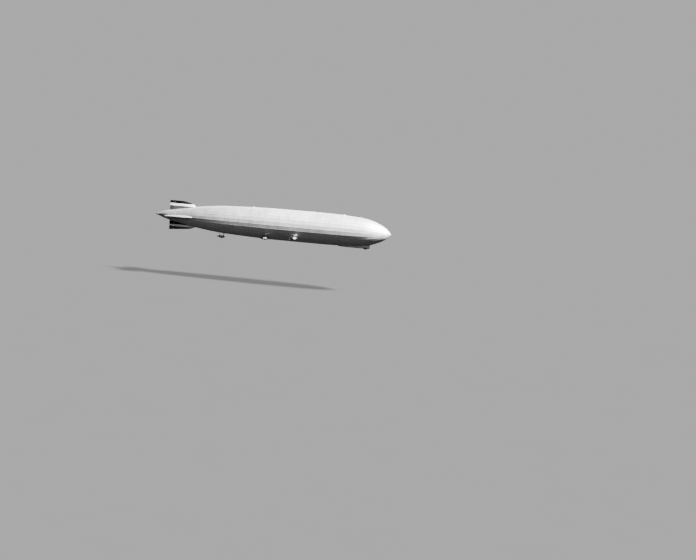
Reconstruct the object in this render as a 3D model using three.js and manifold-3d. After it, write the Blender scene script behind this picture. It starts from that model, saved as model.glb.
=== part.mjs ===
// A rigid passenger airship of the 1930s, as a model at one tenth of its real size.
// X points forward along the hull's axis, Y to port and Z up. The origin is the hull's centre of lift.
// Lengths are in metres of the real ship, and M turns them into millimetres of the model.
// A station is a distance behind the nose, in metres.
import * as THREE from "three";
import { mergeVertices } from "three/addons/utils/BufferGeometryUtils.js";
import Module from "manifold-3d";

const wasm = await Module();
wasm.setup();

const M = 100;
const GAP = 0.3 / M; // between pieces that touch
const CLEAR = 0.06; // between pieces that move past each other
const FAR = 300; // beyond every piece, for cuts
const PAST = 0.1; // how far a cut runs past what it cuts
const SUNK = 0.05; // how deep a pin or partition is let into its neighbour
const ORIGIN = 104.6; // the centre of lift, as a station
const GIRDERS = 28; // lengthwise girders, which are the hull's corners

const COLOURS = {
  skin: { color: 0xbfc2c4, roughness: 0.45, metalness: 0.55 },
  cap: { color: 0xd6d8d9, roughness: 0.35, metalness: 0.6 },
  fin: { color: 0xb7babc, roughness: 0.5, metalness: 0.5 },
  car: { color: 0xa9acae, roughness: 0.4, metalness: 0.6 },
  iron: { color: 0x3c3e40, roughness: 0.6, metalness: 0.7 },
  radiator: { color: 0x56595b, roughness: 0.5, metalness: 0.8 },
  wood: { color: 0x5b4632, roughness: 0.45, metalness: 0 },
  glass: { color: 0x9fb4bd, roughness: 0.05, metalness: 0 },
  bumper: { color: 0x2c2b2a, roughness: 0.85, metalness: 0 },
  cabin: { color: 0x8c8068, roughness: 0.7, metalness: 0 },
};

// The hull: each row is [station, radius at the corners].
const HULL = [
  [0, 0],
  [2, 2.9],
  [5, 5.6],
  [10, 8.4],
  [20, 12.1],
  [30, 13.6],
  [45, 14.65],
  [60, 15.15],
  [90, 15.25],
  [120, 15.15],
  [150, 14.15],
  [170, 13.1],
  [190, 10.8],
  [205, 8.1],
  [215, 6.3],
  [225, 4.2],
  [232, 1.9],
  [236.6, 0],
];
const SKIN = 0.1; // the envelope's thickness

// The hull's sections: each row is [name, front station, back station, bays].
const SECTIONS = [
  ["envelope_bow", 2.6, 16.6, 4],
  ["envelope_1", 16.6, 31.6, 2],
  ["envelope_2", 31.6, 46.6, 2],
  ["envelope_3", 46.6, 76.6, 2],
  ["envelope_4", 76.6, 106.6, 2],
  ["envelope_5", 106.6, 136.6, 2],
  ["envelope_6", 136.6, 166.6, 2],
  ["envelope_7", 166.6, 196.6, 4],
  ["envelope_stern", 196.6, 222.6, 4],
];
const NOSE_RINGS = [0, 0.35, 1, 1.8, 2.6];
const TAIL_RINGS = [222.6, 227, 231, 234.2, 236, 236.6];
const SPINDLE = { radius: 0.3, front: -0.6, back: 0.6, collar: 0.55, collarLength: 0.12 };

// The fins' leading edges: each row is [station, distance from the axis].
const FIN_EDGE = [
  [190, 4.5],
  [195.5, 9.9],
  [197.9, 12.08],
  [200.4, 13.06],
  [204.2, 14.13],
  [208.7, 14.85],
];
const BOTTOM_EDGE = [
  [190, 4.5],
  [195.5, 10.45],
  [197.4, 11.3],
  [200, 12.1],
  [204.7, 12.8],
  [211.1, 13.4],
  [216.4, 13.9],
];
const HINGE = 217.6; // station of the rudders' and elevators' hinge lines
const TRAILING = 222.2;
const FIN_ROOT = 8; // where the thicknesses are measured
const FIN_TIP = 14.9;
const NOSE_HALF = [0.52, 0.2]; // a rudder's nose radius, at the root and at the tip
const MIDDLE_HALF = [1.35, 0.4]; // half a fin's greatest thickness, at the root and at the tip
// A fin's section from its leading edge to its hinge: [share of the chord, share of the half thickness].
const FIN_SECTION = [
  [0.015, 0.3],
  [0.06, 0.62],
  [0.18, 0.92],
  [0.38, 1],
];
const THICKEST = 0.3; // the most that half a fin's thickness may be, as a share of its chord
const TRAILING_HALF = 0.04;
const NOSE_STEPS = 8; // facets of a rudder's round nose
const FLAP_GAP = 0.09; // between the hull and the rudders' and elevators' roots
// A hinge plate: half its thickness and half its width, how deep it is let into the fin, and the radii
// of its eye, its hole, the pin and the room that the eye turns in.
const HINGE_PLATE = {
  half: 0.06, width: 0.09, root: 0.3, eye: 0.12, hole: 0.061, pin: 0.056, sweep: 0.26,
};

// The fins: name, the turn about the hull's axis in degrees, leading edge, the moving piece, how far
// its tip is from the axis at the hinge line and at the trailing edge, and how far the hinge plates are.
const FINS = [
  {
    fin: "fin_top", turn: 0, edge: FIN_EDGE, flap: "rudder_top",
    tip: 14.88, backTip: 14.65, plates: [7.6, 10.6, 13.6],
  },
  {
    fin: "fin_port", turn: -90, edge: FIN_EDGE, flap: "elevator_port",
    tip: 14.95, backTip: 14.7, plates: [7.6, 10.6, 13.6],
  },
  {
    fin: "fin_bottom", turn: 180, edge: BOTTOM_EDGE, flap: "rudder_bottom",
    tip: 13.95, backTip: 14.41, plates: [7.6, 10.2, 12.8],
  },
  {
    fin: "fin_starboard", turn: 90, edge: FIN_EDGE, flap: "elevator_starboard",
    tip: 14.95, backTip: 14.7, plates: [7.6, 10.6, 13.6],
  },
];

// The engine cars: name, station, Y and Z of the middle, and the hatch's place on the hull.
const ENGINE_CARS = [
  { name: "fore_port", at: [91, 14.3, -10.95], hatch: [88.7, 27] },
  { name: "fore_starboard", at: [91, -14.3, -10.95], hatch: [88.7, 27] },
  { name: "aft_port", at: [121, 11.9, -13.5], hatch: [118.7, 37] },
  { name: "aft_starboard", at: [121, -11.9, -13.5], hatch: [118.7, 37] },
  { name: "stern", at: [168, 0, -16.75], hatch: [165.3, 90] },
];
// An engine car's outline: each row is [distance ahead of its middle, radius].
const CAR_OUTLINE = [
  [3.6, 0.82],
  [3.1, 1.02],
  [2.2, 1.2],
  [0.7, 1.28],
  [-1, 1.12],
  [-2.4, 0.78],
  [-3.5, 0.34],
];
const CAR_WALL = 0.06;
const CAR_WIDE = 0.9; // share of the radius sideways
const CAR_TALL = 1.04; // and upwards
const CAR_SIDES = 12;
// The struts: where they meet the car, ahead of its middle, how much further ahead they meet the hull,
// degrees round the hull on each side, how deep they go in, and how far off the car's middle they end.
const STRUT = { radius: 0.075, ahead: [2, -1.6], rake: 1.25, spread: 9, sunk: 0.4, head: 0.5 };
// The ladder from the hatch to the car: its sides' radius, half its width and where it meets the car.
const LADDER = { radius: 0.045, half: 0.22, ahead: 2.3 };
const HOOD = { long: 0.95, wide: 0.5, high: 0.36 };
const ENGINE = { long: 2.3, wide: 0.76, high: 1.15, ahead: 0.3 };
const SHAFT = { radius: 0.13, back: -3.78 };
const BEARER = { ahead: [1.2, -0.55], long: 0.22, high: 0.14, down: 0.42 };
const RADIATOR = { front: 3.5, back: 3.3, slats: 5, slatWide: 0.06, slatDeep: 0.12, pitch: 0.26 };
const PROPELLER = { blades: 4, turn: 45, bladesAt: 0.15 };
// Its hub: each row is [distance behind the shaft's end, radius].
const HUB = [
  [0, 0],
  [0, 0.2],
  [0.25, 0.2],
  [0.38, 0.12],
  [0.42, 0],
];
// A blade: each row is [distance from the shaft, chord, thickness, pitch in degrees].
const BLADE = [
  [0.1, 0.2, 0.14, 60],
  [0.45, 0.24, 0.09, 48],
  [0.85, 0.3, 0.06, 36],
  [1.3, 0.25, 0.04, 27],
  [1.7, 0.1, 0.02, 22],
];
const STERN_BUMPER = { ahead: 0.5, long: 1.5, wide: 0.62, high: 0.5, lowest: -18.45 };

// The control and passenger car's plan: each row is [station, half width].
const CABIN_PLAN = [
  [19.3, 0.85],
  [19.75, 1.6],
  [20.7, 2.3],
  [22.2, 2.8],
  [24.2, 3],
  [40, 3],
  [43.2, 2.66],
  [46.2, 1.95],
  [48.6, 1.05],
  [50.2, 0.25],
];
const CABIN_WALL = 0.08;
const CABIN_TOP = -11; // inside the hull, where the hull's skin cuts it off
// The car's lower edge: each row is [height, distance in from the plan].
const CABIN_SILL = [
  [-14.95, 0],
  [-15.3, 0.16],
  [-15.5, 0.5],
];
const TRAY_TOP = -15; // the walls stand on a tray that is the car's underside
const TRAY_JOINT = 25.1; // where its front piece, over the bumper, meets the rest
const NOSE_END = 24.2; // station where the rounded front meets the side walls
const STERN_START = 43.2;
const FLOOR = { thick: 0.05, top: -14.9, back: 43.1 };
// Windows of the side walls: each row is [front station, back station, sill, lintel].
const SIDE_WINDOWS = [
  [24.7, 26.1, -14.35, -13.35],
  [26.35, 27.5, -14.35, -13.35],
  [30.9, 32.9, -14.5, -13.75],
  [33.4, 35.4, -14.5, -13.9],
  [37.1, 38.1, -14.75, -14.2],
  [39, 40, -14.8, -14.3],
  [40.9, 41.9, -14.85, -14.4],
];
const FRONT_WINDOW = { sill: -14.45, lintel: -13.05, post: 0.1 };
// The door's place, its hinge pin's radius and reach, the pin's hole, and the pin's distance from the edge.
const DOOR = {
  front: 28.2, back: 29.1, sill: -14.8, lintel: -13.35, pin: 0.03, reach: 0.05, hole: 0.034, inset: 0.1,
};
const DOOR_WINDOW = [28.45, 28.85, -14.2, -13.65];
// The panes: thickness, how far they lap over a window's edge, and the side walls' band of glass, which
// has a joint behind the lounge.
const GLASS = { thick: 0.03, lap: 0.1, front: 24.3, joint: 38.75, back: 42.4, low: -14.9, high: -12 };
const BULKHEADS = [24.05, 27.75, 30.2, 36.3, 38.5, 40.5, 42.4];
const LOUNGE_BULKHEAD = 2; // the lounge runs from this one to the next
const CORRIDOR_BULKHEAD = 3; // the corridor runs from this one to the last
const PARTITION = 0.04;
const CORRIDOR = 0.45; // half width
const DOORWAY_TOP = -13.2;
const BOW_BUMPER = { station: 23.3, long: 1.7, wide: 0.85, high: 0.62, lowest: -16.5 };

const rad = THREE.MathUtils.degToRad;
const lerp = THREE.MathUtils.lerp;
const AXLE = new THREE.Vector3(1, 0, 0);

// The hull's radius at a station, smooth through the table's rows.
function hullRadius(station) {
  const last = HULL.length - 1;
  const square = (i) => HULL[i][1] ** 2;
  const slope = (i) => {
    const a = Math.max(i - 1, 0);
    const b = Math.min(i + 1, last);
    return (square(b) - square(a)) / (HULL[b][0] - HULL[a][0]);
  };
  const k = Math.min(last - 1, Math.max(0, HULL.findIndex((row) => row[0] > station) - 1));
  const i = station >= HULL[last][0] ? last - 1 : k;
  const width = HULL[i + 1][0] - HULL[i][0];
  const u = THREE.MathUtils.clamp((station - HULL[i][0]) / width, 0, 1);
  const blend =
    (2 * u ** 3 - 3 * u ** 2 + 1) * square(i) +
    (u ** 3 - 2 * u ** 2 + u) * width * slope(i) +
    (3 * u ** 2 - 2 * u ** 3) * square(i + 1) +
    (u ** 3 - u ** 2) * width * slope(i + 1);
  return Math.sqrt(Math.max(blend, 0));
}

// A point of the ship, from its station, its distance to port and its height.
function at(station, y, z) {
  return new THREE.Vector3((ORIGIN - station) * M, y * M, z * M);
}

// A closed geometry as a solid that can be joined and cut.
function solid(geometry) {
  const bare = geometry.clone();
  bare.deleteAttribute("normal");
  bare.deleteAttribute("uv");
  const merged = mergeVertices(bare, 1e-3);
  const data = {
    numProp: 3,
    vertProperties: merged.attributes.position.array,
    triVerts: new Uint32Array(merged.index.array),
  };
  return new wasm.Manifold(new wasm.Mesh(data));
}

function join(list) {
  return list.reduce((whole, piece) => whole.add(piece));
}

function cut(whole, list) {
  return list.reduce((left, piece) => left.subtract(piece), whole);
}

const ship = new THREE.Group();

// Hangs a solid on the ship as a named mesh.
function place(name, made, look) {
  const { vertProperties, triVerts } = made.getMesh();
  const geometry = new THREE.BufferGeometry();
  geometry.setAttribute("position", new THREE.BufferAttribute(vertProperties, 3));
  geometry.setIndex(new THREE.BufferAttribute(triVerts, 1));
  geometry.computeVertexNormals();
  const mesh = new THREE.Mesh(geometry, new THREE.MeshStandardMaterial(COLOURS[look]));
  mesh.name = name;
  ship.add(mesh);
}

// A solid between rings of points, closed at both ends. The rings may come in either order.
function loft(rings) {
  const count = rings[0].length;
  const points = rings.flat();
  const index = [];
  rings.slice(1).forEach((ring, k) => {
    ring.forEach((point, i) => {
      const a = k * count + i;
      const b = k * count + ((i + 1) % count);
      index.push(a, b, a + count, b, b + count, a + count);
    });
  });
  const last = (rings.length - 1) * count;
  for (let i = 1; i < count - 1; i++) {
    index.push(0, i + 1, i);
    index.push(last, last + i, last + i + 1);
  }
  const geometry = new THREE.BufferGeometry().setFromPoints(points);
  geometry.setIndex(index);
  const made = solid(geometry);
  return made.volume() > 0 ? made : loft([...rings].reverse());
}

// A solid of revolution about the hull's axis, from rows of [station, radius] that go aft.
function revolve(rows, sides) {
  const profile = rows.map(([station, radius]) => new THREE.Vector2(radius * M, (ORIGIN - station) * M));
  const turned = new THREE.LatheGeometry(profile.reverse(), sides).rotateZ(-Math.PI / 2);
  return solid(turned);
}

// A box from its lowest to its highest corner, each [station, y, z].
function box([s0, y0, z0], [s1, y1, z1]) {
  const size = new THREE.BoxGeometry(Math.abs(s1 - s0) * M, Math.abs(y1 - y0) * M, Math.abs(z1 - z0) * M);
  const middle = at((s0 + s1) / 2, (y0 + y1) / 2, (z0 + z1) / 2);
  return solid(size.translate(middle.x, middle.y, middle.z));
}

// A round bar between two points.
function bar(start, end, radius, sides = 6) {
  const along = end.clone().sub(start);
  const turn = new THREE.Quaternion().setFromUnitVectors(
    new THREE.Vector3(0, 1, 0),
    along.clone().normalize(),
  );
  const rod = new THREE.CylinderGeometry(radius * M, radius * M, along.length(), sides);
  const middle = start.clone().add(end).multiplyScalar(0.5);
  return solid(rod.applyQuaternion(turn).translate(middle.x, middle.y, middle.z));
}

// An ellipsoid about a point, from its half lengths.
function pad(centre, long, wide, high, around = 12, along = 8) {
  const ball = new THREE.SphereGeometry(M, around, along).rotateZ(Math.PI / 2);
  return solid(ball.scale(long, wide, high).translate(centre.x, centre.y, centre.z));
}

// The hull
const sectionRings = ([, front, back, bays]) =>
  Array.from({ length: bays + 1 }, (_, i) => lerp(front, back, i / bays));

const allRings = [
  ...NOSE_RINGS,
  ...SECTIONS.flatMap((row) => sectionRings(row).slice(1)),
  ...TAIL_RINGS.slice(1),
];

// The whole hull as one solid, swollen by a margin.
function swollenHull(margin) {
  const rows = allRings.map((station) => [station, hullRadius(station) + margin]);
  rows[0][0] -= margin;
  rows[rows.length - 1][0] += margin;
  return revolve([[rows[0][0], 0], ...rows, [rows[rows.length - 1][0], 0]], GIRDERS);
}

for (const row of SECTIONS) {
  const rings = sectionRings(row);
  const outer = rings.map((station) => [station, hullRadius(station)]);
  outer[0][0] += GAP / 2;
  outer[rings.length - 1][0] -= GAP / 2;
  const inner = outer.map(([station, radius]) => [station, radius - SKIN]).reverse();
  place(row[0], revolve([...outer, ...inner, outer[0]], GIRDERS), "skin");
}

// A closed end of the hull, from its tip to its open edge.
function endCap(rings, tip, edge) {
  const towards = Math.sign(edge - tip);
  const outer = rings.map((station) => [station, hullRadius(station)]);
  const inner = outer
    .map(([station, radius]) => [station, Math.max(radius - SKIN, 0)])
    .filter(([station]) => Math.abs(station - tip) > 2 * SKIN);
  outer[rings.indexOf(edge)][0] -= (towards * GAP) / 2;
  inner[towards > 0 ? inner.length - 1 : 0][0] -= (towards * GAP) / 2;
  const hollow = [tip + towards * 2 * SKIN, 0];
  const rows = towards > 0
    ? [...outer, ...inner.reverse(), hollow]
    : [hollow, ...inner.reverse(), ...outer];
  return revolve(rows, GIRDERS);
}

const spindle = join([
  bar(at(SPINDLE.front, 0, 0), at(SPINDLE.back, 0, 0), SPINDLE.radius, 16),
  bar(at(SPINDLE.front + SPINDLE.collarLength, 0, 0), at(SPINDLE.front, 0, 0), SPINDLE.collar, 16),
]);
place("nose_cap", join([endCap(NOSE_RINGS, 0, 2.6), spindle]), "cap");
place("tail_cone", endCap(TAIL_RINGS, 236.6, 222.6), "skin");

// Fins, rudders and elevators
const skinOffset = swollenHull(GAP);
const flapOffset = swollenHull(FLAP_GAP);
const shareOfSpan = (h) => THREE.MathUtils.clamp((h - FIN_ROOT) / (FIN_TIP - FIN_ROOT), -0.5, 1);
const noseHalf = (h) => lerp(NOSE_HALF[0], NOSE_HALF[1], shareOfSpan(h));
const middleHalf = (h) => lerp(MIDDLE_HALF[0], MIDDLE_HALF[1], shareOfSpan(h));

// A fin's section at a distance from the hull's axis, as a ring of points.
function finRing(front, h) {
  const back = HINGE - noseHalf(h) - CLEAR;
  const half = Math.min(middleHalf(h), (back - front) * THICKEST);
  const sides = FIN_SECTION.map(([share, thick]) => [lerp(front, back, share), half * thick]);
  sides.push([back, Math.min(noseHalf(h), half)]);
  const left = sides.map(([station, y]) => at(station, y, h));
  const right = sides.map(([station, y]) => at(station, -y, h)).reverse();
  return [at(front, 0, h), ...left, ...right];
}

// A rudder's section: a round nose about the hinge and a straight taper.
function flapRing(h) {
  const nose = Array.from({ length: NOSE_STEPS + 1 }, (_, i) => {
    const angle = Math.PI * (0.5 - i / NOSE_STEPS);
    return at(HINGE - noseHalf(h) * Math.cos(angle), -noseHalf(h) * Math.sin(angle), h);
  });
  return [at(TRAILING, -TRAILING_HALF, h), ...nose, at(TRAILING, TRAILING_HALF, h)];
}

// All that lies above the line of a rudder's tip, from its height at the hinge and at the trailing edge.
function aboveTip(tip, backTip) {
  const rise = (backTip - tip) / (TRAILING - HINGE);
  const ends = [HINGE - 1, TRAILING + 1].map((station) => {
    const h = tip + rise * (station - HINGE);
    return [at(station, -FAR, h), at(station, FAR, h), at(station, FAR, FAR), at(station, -FAR, FAR)];
  });
  return loft(ends);
}

for (const row of FINS) {
  const turn = (made) => made.rotate([row.turn, 0, 0]);
  const upright = (low, high, radius, sides) => bar(at(HINGE, 0, low), at(HINGE, 0, high), radius, sides);
  const { half, width, root, eye, hole, pin, sweep } = HINGE_PLATE;
  let fin = loft(row.edge.map(([front, h]) => finRing(front, h)));
  let flap = loft([row.edge[0][1], FIN_ROOT, row.tip + 1].map(flapRing));
  flap = flap.subtract(aboveTip(row.tip, row.backTip));
  for (const h of row.plates) {
    const back = HINGE - noseHalf(h) - CLEAR;
    const arm = box([back - root, -width, h - half], [HINGE, width, h + half]);
    const bore = upright(h - half - PAST, h + half + PAST, hole, 12);
    fin = fin.add(arm.add(upright(h - half, h + half, eye, 16)).subtract(bore));
    const low = h - half - CLEAR;
    const high = h + half + CLEAR;
    const slot = box([HINGE - FAR, -FAR, low], [HINGE, FAR, high]).add(upright(low, high, sweep, 20));
    flap = flap.subtract(slot).add(upright(low - SUNK, high + SUNK, pin, 12));
  }
  place(row.fin, turn(fin).subtract(skinOffset), "fin");
  place(row.flap, turn(flap).subtract(flapOffset), "fin");
}

// Engine cars
// A car's form, moved inwards by a distance, and then open at both ends.
function carBody(centre, inset) {
  const ends = { 0: PAST, [CAR_OUTLINE.length - 1]: -PAST };
  const rings = CAR_OUTLINE.map(([ahead, radius], i) => {
    const out = inset > 0 ? ends[i] ?? 0 : 0;
    return Array.from({ length: CAR_SIDES }, (_, k) => {
      const angle = (k * 2 * Math.PI) / CAR_SIDES;
      const y = (radius - inset) * CAR_WIDE * Math.sin(angle);
      const z = (radius - inset) * CAR_TALL * Math.cos(angle);
      return centre.clone().add(new THREE.Vector3((ahead + out) * M, y * M, z * M));
    });
  });
  return loft(rings);
}

// A point on the hull's skin, from its station and its angle below the horizontal, on one side.
function onHull(station, below, side, out = 0) {
  const radius = hullRadius(station) + out;
  return at(station, side * radius * Math.cos(rad(below)), -radius * Math.sin(rad(below)));
}

function blade() {
  const rings = BLADE.map(([out, chord, thick, pitch]) =>
    Array.from({ length: 6 }, (_, i) => {
      const angle = (i * Math.PI) / 3;
      const point = new THREE.Vector3(thick * 0.5 * Math.sin(angle), chord * 0.5 * Math.cos(angle), 0);
      point.applyAxisAngle(new THREE.Vector3(0, 0, 1), rad(90 - pitch));
      return point.add(new THREE.Vector3(0, 0, out)).multiplyScalar(M);
    }),
  );
  return loft(rings);
}

for (const { name, at: [station, y, z], hatch } of ENGINE_CARS) {
  const centre = at(station, y, z);
  const side = Math.sign(y) || 1;
  const below = THREE.MathUtils.radToDeg(Math.atan2(-z, Math.abs(y)));
  const inwards = new THREE.Vector3(0, -y, -z).normalize();
  const round = new THREE.Vector3(1, 0, 0).cross(inwards).multiplyScalar(side);
  const rods = [];
  for (const ahead of STRUT.ahead) {
    for (const way of [-1, 1]) {
      const foot = onHull(station - ahead * STRUT.rake, below + way * STRUT.spread, side, -STRUT.sunk);
      const head = centre.clone().add(AXLE.clone().multiplyScalar(ahead * M));
      head.add(inwards.clone().multiplyScalar(STRUT.head * M));
      head.add(round.clone().multiplyScalar(-way * STRUT.head * M));
      rods.push(bar(foot, head, STRUT.radius));
    }
  }
  const hatchAt = onHull(hatch[0], hatch[1], side);
  for (const way of [-1, 1]) {
    const shift = round.clone().multiplyScalar(way * LADDER.half * M);
    const foot = hatchAt.clone().add(shift);
    const head = centre.clone().add(AXLE.clone().multiplyScalar(LADDER.ahead * M)).add(shift);
    rods.push(bar(foot, head, LADDER.radius));
  }
  rods.push(pad(hatchAt, HOOD.long, HOOD.wide, HOOD.high, 10, 4));
  const shell = join([carBody(centre, 0), ...rods]);
  place("car_" + name, cut(shell, [carBody(centre, CAR_WALL), skinOffset]), "car");

  const room = carBody(centre, CAR_WALL + GAP);
  const local = (ahead, dy, dz) => [station - ahead, y + dy, z + dz];
  const bearers = BEARER.ahead.map((ahead) =>
    box(
      local(ahead + BEARER.long / 2, -FAR, -BEARER.down - BEARER.high),
      local(ahead - BEARER.long / 2, FAR, -BEARER.down),
    ).intersect(room),
  );
  const block = box(
    local(ENGINE.ahead + ENGINE.long / 2, -ENGINE.wide / 2, -ENGINE.high / 2),
    local(ENGINE.ahead - ENGINE.long / 2, ENGINE.wide / 2, ENGINE.high / 2),
  );
  const shaft = bar(at(...local(0, 0, 0)), at(...local(SHAFT.back, 0, 0)), SHAFT.radius, 12);
  place("engine_" + name, join([block, ...bearers, shaft]), "iron");

  const core = box(local(RADIATOR.front, -FAR, -FAR), local(RADIATOR.back, FAR, FAR));
  const slats = Array.from({ length: RADIATOR.slats }, (_, i) => {
    const dy = (i - (RADIATOR.slats - 1) / 2) * RADIATOR.pitch;
    return box(
      local(RADIATOR.front + RADIATOR.slatDeep, dy - RADIATOR.slatWide / 2, -FAR),
      local(RADIATOR.front, dy + RADIATOR.slatWide / 2, FAR),
    );
  });
  place("radiator_" + name, join([core, ...slats]).intersect(room), "radiator");

  const hubFront = SHAFT.back - GAP;
  const hub = revolve(HUB.map(([behind, radius]) => [ORIGIN - hubFront + behind, radius]), 12);
  const arms = Array.from({ length: PROPELLER.blades }, (_, i) =>
    blade()
      .translate([(hubFront - PROPELLER.bladesAt) * M, 0, 0])
      .rotate([PROPELLER.turn + (i * 360) / PROPELLER.blades, 0, 0]),
  );
  const propeller = join([hub, ...arms]).translate(centre.toArray());
  place("propeller_" + name, propeller, "wood");
}

// The landing bumper under the stern car, pressed against its belly
const sternCar = ENGINE_CARS[4].at;
const sternCentre = at(...sternCar);
const sternBumper = pad(
  at(sternCar[0] - STERN_BUMPER.ahead, 0, STERN_BUMPER.lowest + STERN_BUMPER.high),
  STERN_BUMPER.long,
  STERN_BUMPER.wide,
  STERN_BUMPER.high,
);
place("bumper_stern", sternBumper.subtract(carBody(sternCentre, -GAP)), "bumper");

// The control and passenger car
// The plan's outline, moved inwards by a distance, as a ring of points at a height.
function planRing(z, inset) {
  const right = CABIN_PLAN.map(([station, half]) => new THREE.Vector2(station, half));
  const left = [...right].reverse().map((p) => new THREE.Vector2(p.x, -p.y));
  const outline = [...right, ...left];
  const count = outline.length;
  return outline.map((point, i) => {
    const before = outline[(i + count - 1) % count];
    const after = outline[(i + 1) % count];
    const one = point.clone().sub(before).normalize();
    const two = after.clone().sub(point).normalize();
    const inwards = new THREE.Vector2(one.y + two.y, -one.x - two.x).normalize();
    const reach = inset / Math.max(inwards.dot(new THREE.Vector2(one.y, -one.x)), 0.4);
    return at(point.x + inwards.x * reach, point.y + inwards.y * reach, z);
  });
}

// The car's whole form, moved inwards by a distance.
function cabinForm(inset) {
  const rings = CABIN_SILL.map(([z, inwards]) => planRing(z + inset, inwards + inset));
  return loft([planRing(CABIN_TOP, inset), ...rings]);
}

const cabinShell = cut(cabinForm(0), [cabinForm(CABIN_WALL), skinOffset]);
const stretch = (front, back, low, high) => box([front, -FAR, low], [back, FAR, high]);
const portSide = box([-FAR, 0, -FAR], [FAR, FAR, FAR]);
const starboardSide = box([-FAR, -FAR, -FAR], [FAR, 0, FAR]);

// A window's opening in one facet of the rounded front.
function facetWindow([s0, y0], [s1, y1], side) {
  const start = at(s0, y0 * side, 0);
  const end = at(s1, y1 * side, 0);
  const along = end.clone().sub(start);
  const wide = along.length() - 2 * FRONT_WINDOW.post * M;
  const high = (FRONT_WINDOW.lintel - FRONT_WINDOW.sill) * M;
  const middle = start.add(end).multiplyScalar(0.5);
  middle.z = ((FRONT_WINDOW.lintel + FRONT_WINDOW.sill) / 2) * M;
  const opening = new THREE.BoxGeometry(wide, M, high).rotateZ(Math.atan2(along.y, along.x));
  return solid(opening.translate(middle.x, middle.y, middle.z));
}

const facets = [[CABIN_PLAN[0][0], -CABIN_PLAN[0][1]], ...CABIN_PLAN.slice(0, 5)];
const frontWindows = facets.slice(1).flatMap((end, i) =>
  (i === 0 ? [1] : [1, -1]).map((side) => facetWindow(facets[i], end, side)),
);
const sideWindows = SIDE_WINDOWS.map(([front, back, low, high]) => stretch(front, back, low, high));
const doorWay = box([DOOR.front, -FAR, DOOR.sill], [DOOR.back, 0, DOOR.lintel]);
const doorLeaf = box(
  [DOOR.front + CLEAR, -FAR, DOOR.sill + CLEAR],
  [DOOR.back - CLEAR, 0, DOOR.lintel - CLEAR],
);
const [doorFront, doorBack, doorLow, doorHigh] = DOOR_WINDOW;
const doorWindow = box([doorFront, -FAR, doorLow], [doorBack, 0, doorHigh]);
const hingeAt = (z) => at(DOOR.front + DOOR.inset, -CABIN_PLAN[4][1] + CABIN_WALL / 2, z);
const doorPin = bar(hingeAt(DOOR.sill - DOOR.reach), hingeAt(DOOR.lintel + DOOR.reach), DOOR.pin, 10);
const doorBore = bar(hingeAt(DOOR.sill - CLEAR), hingeAt(DOOR.lintel + CLEAR), DOOR.hole, 12);

const walls = cut(cabinShell, [...frontWindows, ...sideWindows, doorWay, doorBore]);
const above = (front, back) => stretch(front + GAP / 2, back - GAP / 2, TRAY_TOP + GAP, 0);
const sides = walls.intersect(above(NOSE_END, STERN_START));
const tray = (front, back) => cabinShell.intersect(stretch(front, back, -FAR, TRAY_TOP));
place("cabin_front", walls.intersect(above(0, NOSE_END)), "car");
place("cabin_wall_port", sides.intersect(portSide), "car");
place("cabin_wall_starboard", sides.intersect(starboardSide), "car");
place("cabin_stern", walls.intersect(above(STERN_START, FAR)), "car");
place("cabin_tray_front", tray(0, TRAY_JOINT - GAP), "car");
place("cabin_tray", tray(TRAY_JOINT, FAR), "car");
const leaf = cabinShell.intersect(doorLeaf).subtract(doorWindow);
place("cabin_door", leaf.add(doorPin), "car");

// The glass lies just inside the walls, and the door's own pane just inside the door.
const glassOuter = cabinForm(CABIN_WALL + GAP);
const glassShell = cut(glassOuter, [cabinForm(CABIN_WALL + GAP + GLASS.thick), swollenHull(CLEAR)]);
const pane = (front, back, low, high) => glassShell.intersect(stretch(front, back, low, high));
const doorRoom = box([DOOR.front - CLEAR, -FAR, -FAR], [DOOR.back + CLEAR, 0, 0]);
const frontPane = pane(
  0,
  NOSE_END - 2 * GLASS.lap,
  FRONT_WINDOW.sill - GLASS.lap,
  FRONT_WINDOW.lintel + GLASS.lap,
);
place("glass_front", frontPane, "glass");
const bands = pane(GLASS.front, GLASS.back, GLASS.low, GLASS.high).subtract(doorRoom);
const band = (side, front, back) => bands.intersect(side).intersect(stretch(front, back, -FAR, 0));
place("glass_port_fore", band(portSide, 0, GLASS.joint), "glass");
place("glass_port_rear", band(portSide, GLASS.joint + GAP, FAR), "glass");
place("glass_starboard_fore", band(starboardSide, 0, DOOR.front), "glass");
place("glass_starboard_middle", band(starboardSide, DOOR.back, GLASS.joint), "glass");
place("glass_starboard_rear", band(starboardSide, GLASS.joint + GAP, FAR), "glass");
const doorPane = pane(doorFront - CLEAR, doorBack + CLEAR, doorLow - CLEAR, doorHigh + CLEAR);
place("glass_door", doorPane.intersect(starboardSide), "glass");

// The cabin's floor and its partitions, on the tray. The lounge's floor is a piece of its own.
const room = cabinForm(CABIN_WALL + GLASS.thick + 5 * GAP);
const deck = (front, back) => stretch(front, back, FLOOR.top - FLOOR.thick, FLOOR.top);
const partitionFoot = FLOOR.top - FLOOR.thick / 2;
const bulkheads = BULKHEADS.map((s) => stretch(s, s + PARTITION, partitionFoot, 0));
const corridorStart = BULKHEADS[CORRIDOR_BULKHEAD];
const corridorEnd = BULKHEADS[BULKHEADS.length - 1] + PARTITION;
const way = box([corridorStart - PAST, -CORRIDOR, FLOOR.top], [corridorEnd + PAST, CORRIDOR, 0]);
const doorways = box([0, -CORRIDOR, FLOOR.top], [corridorStart, CORRIDOR, DOORWAY_TOP]);
const corridorSides = [-1, 1].map((side) =>
  box(
    [corridorStart, side * CORRIDOR, partitionFoot],
    [corridorEnd, side * (CORRIDOR + PARTITION), 0],
  ),
);
const loungeFront = BULKHEADS[LOUNGE_BULKHEAD] + PARTITION;
const loungeBack = BULKHEADS[LOUNGE_BULKHEAD + 1];
const placeInside = (name, made) => place(name, made.intersect(room).subtract(skinOffset), "cabin");
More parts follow.
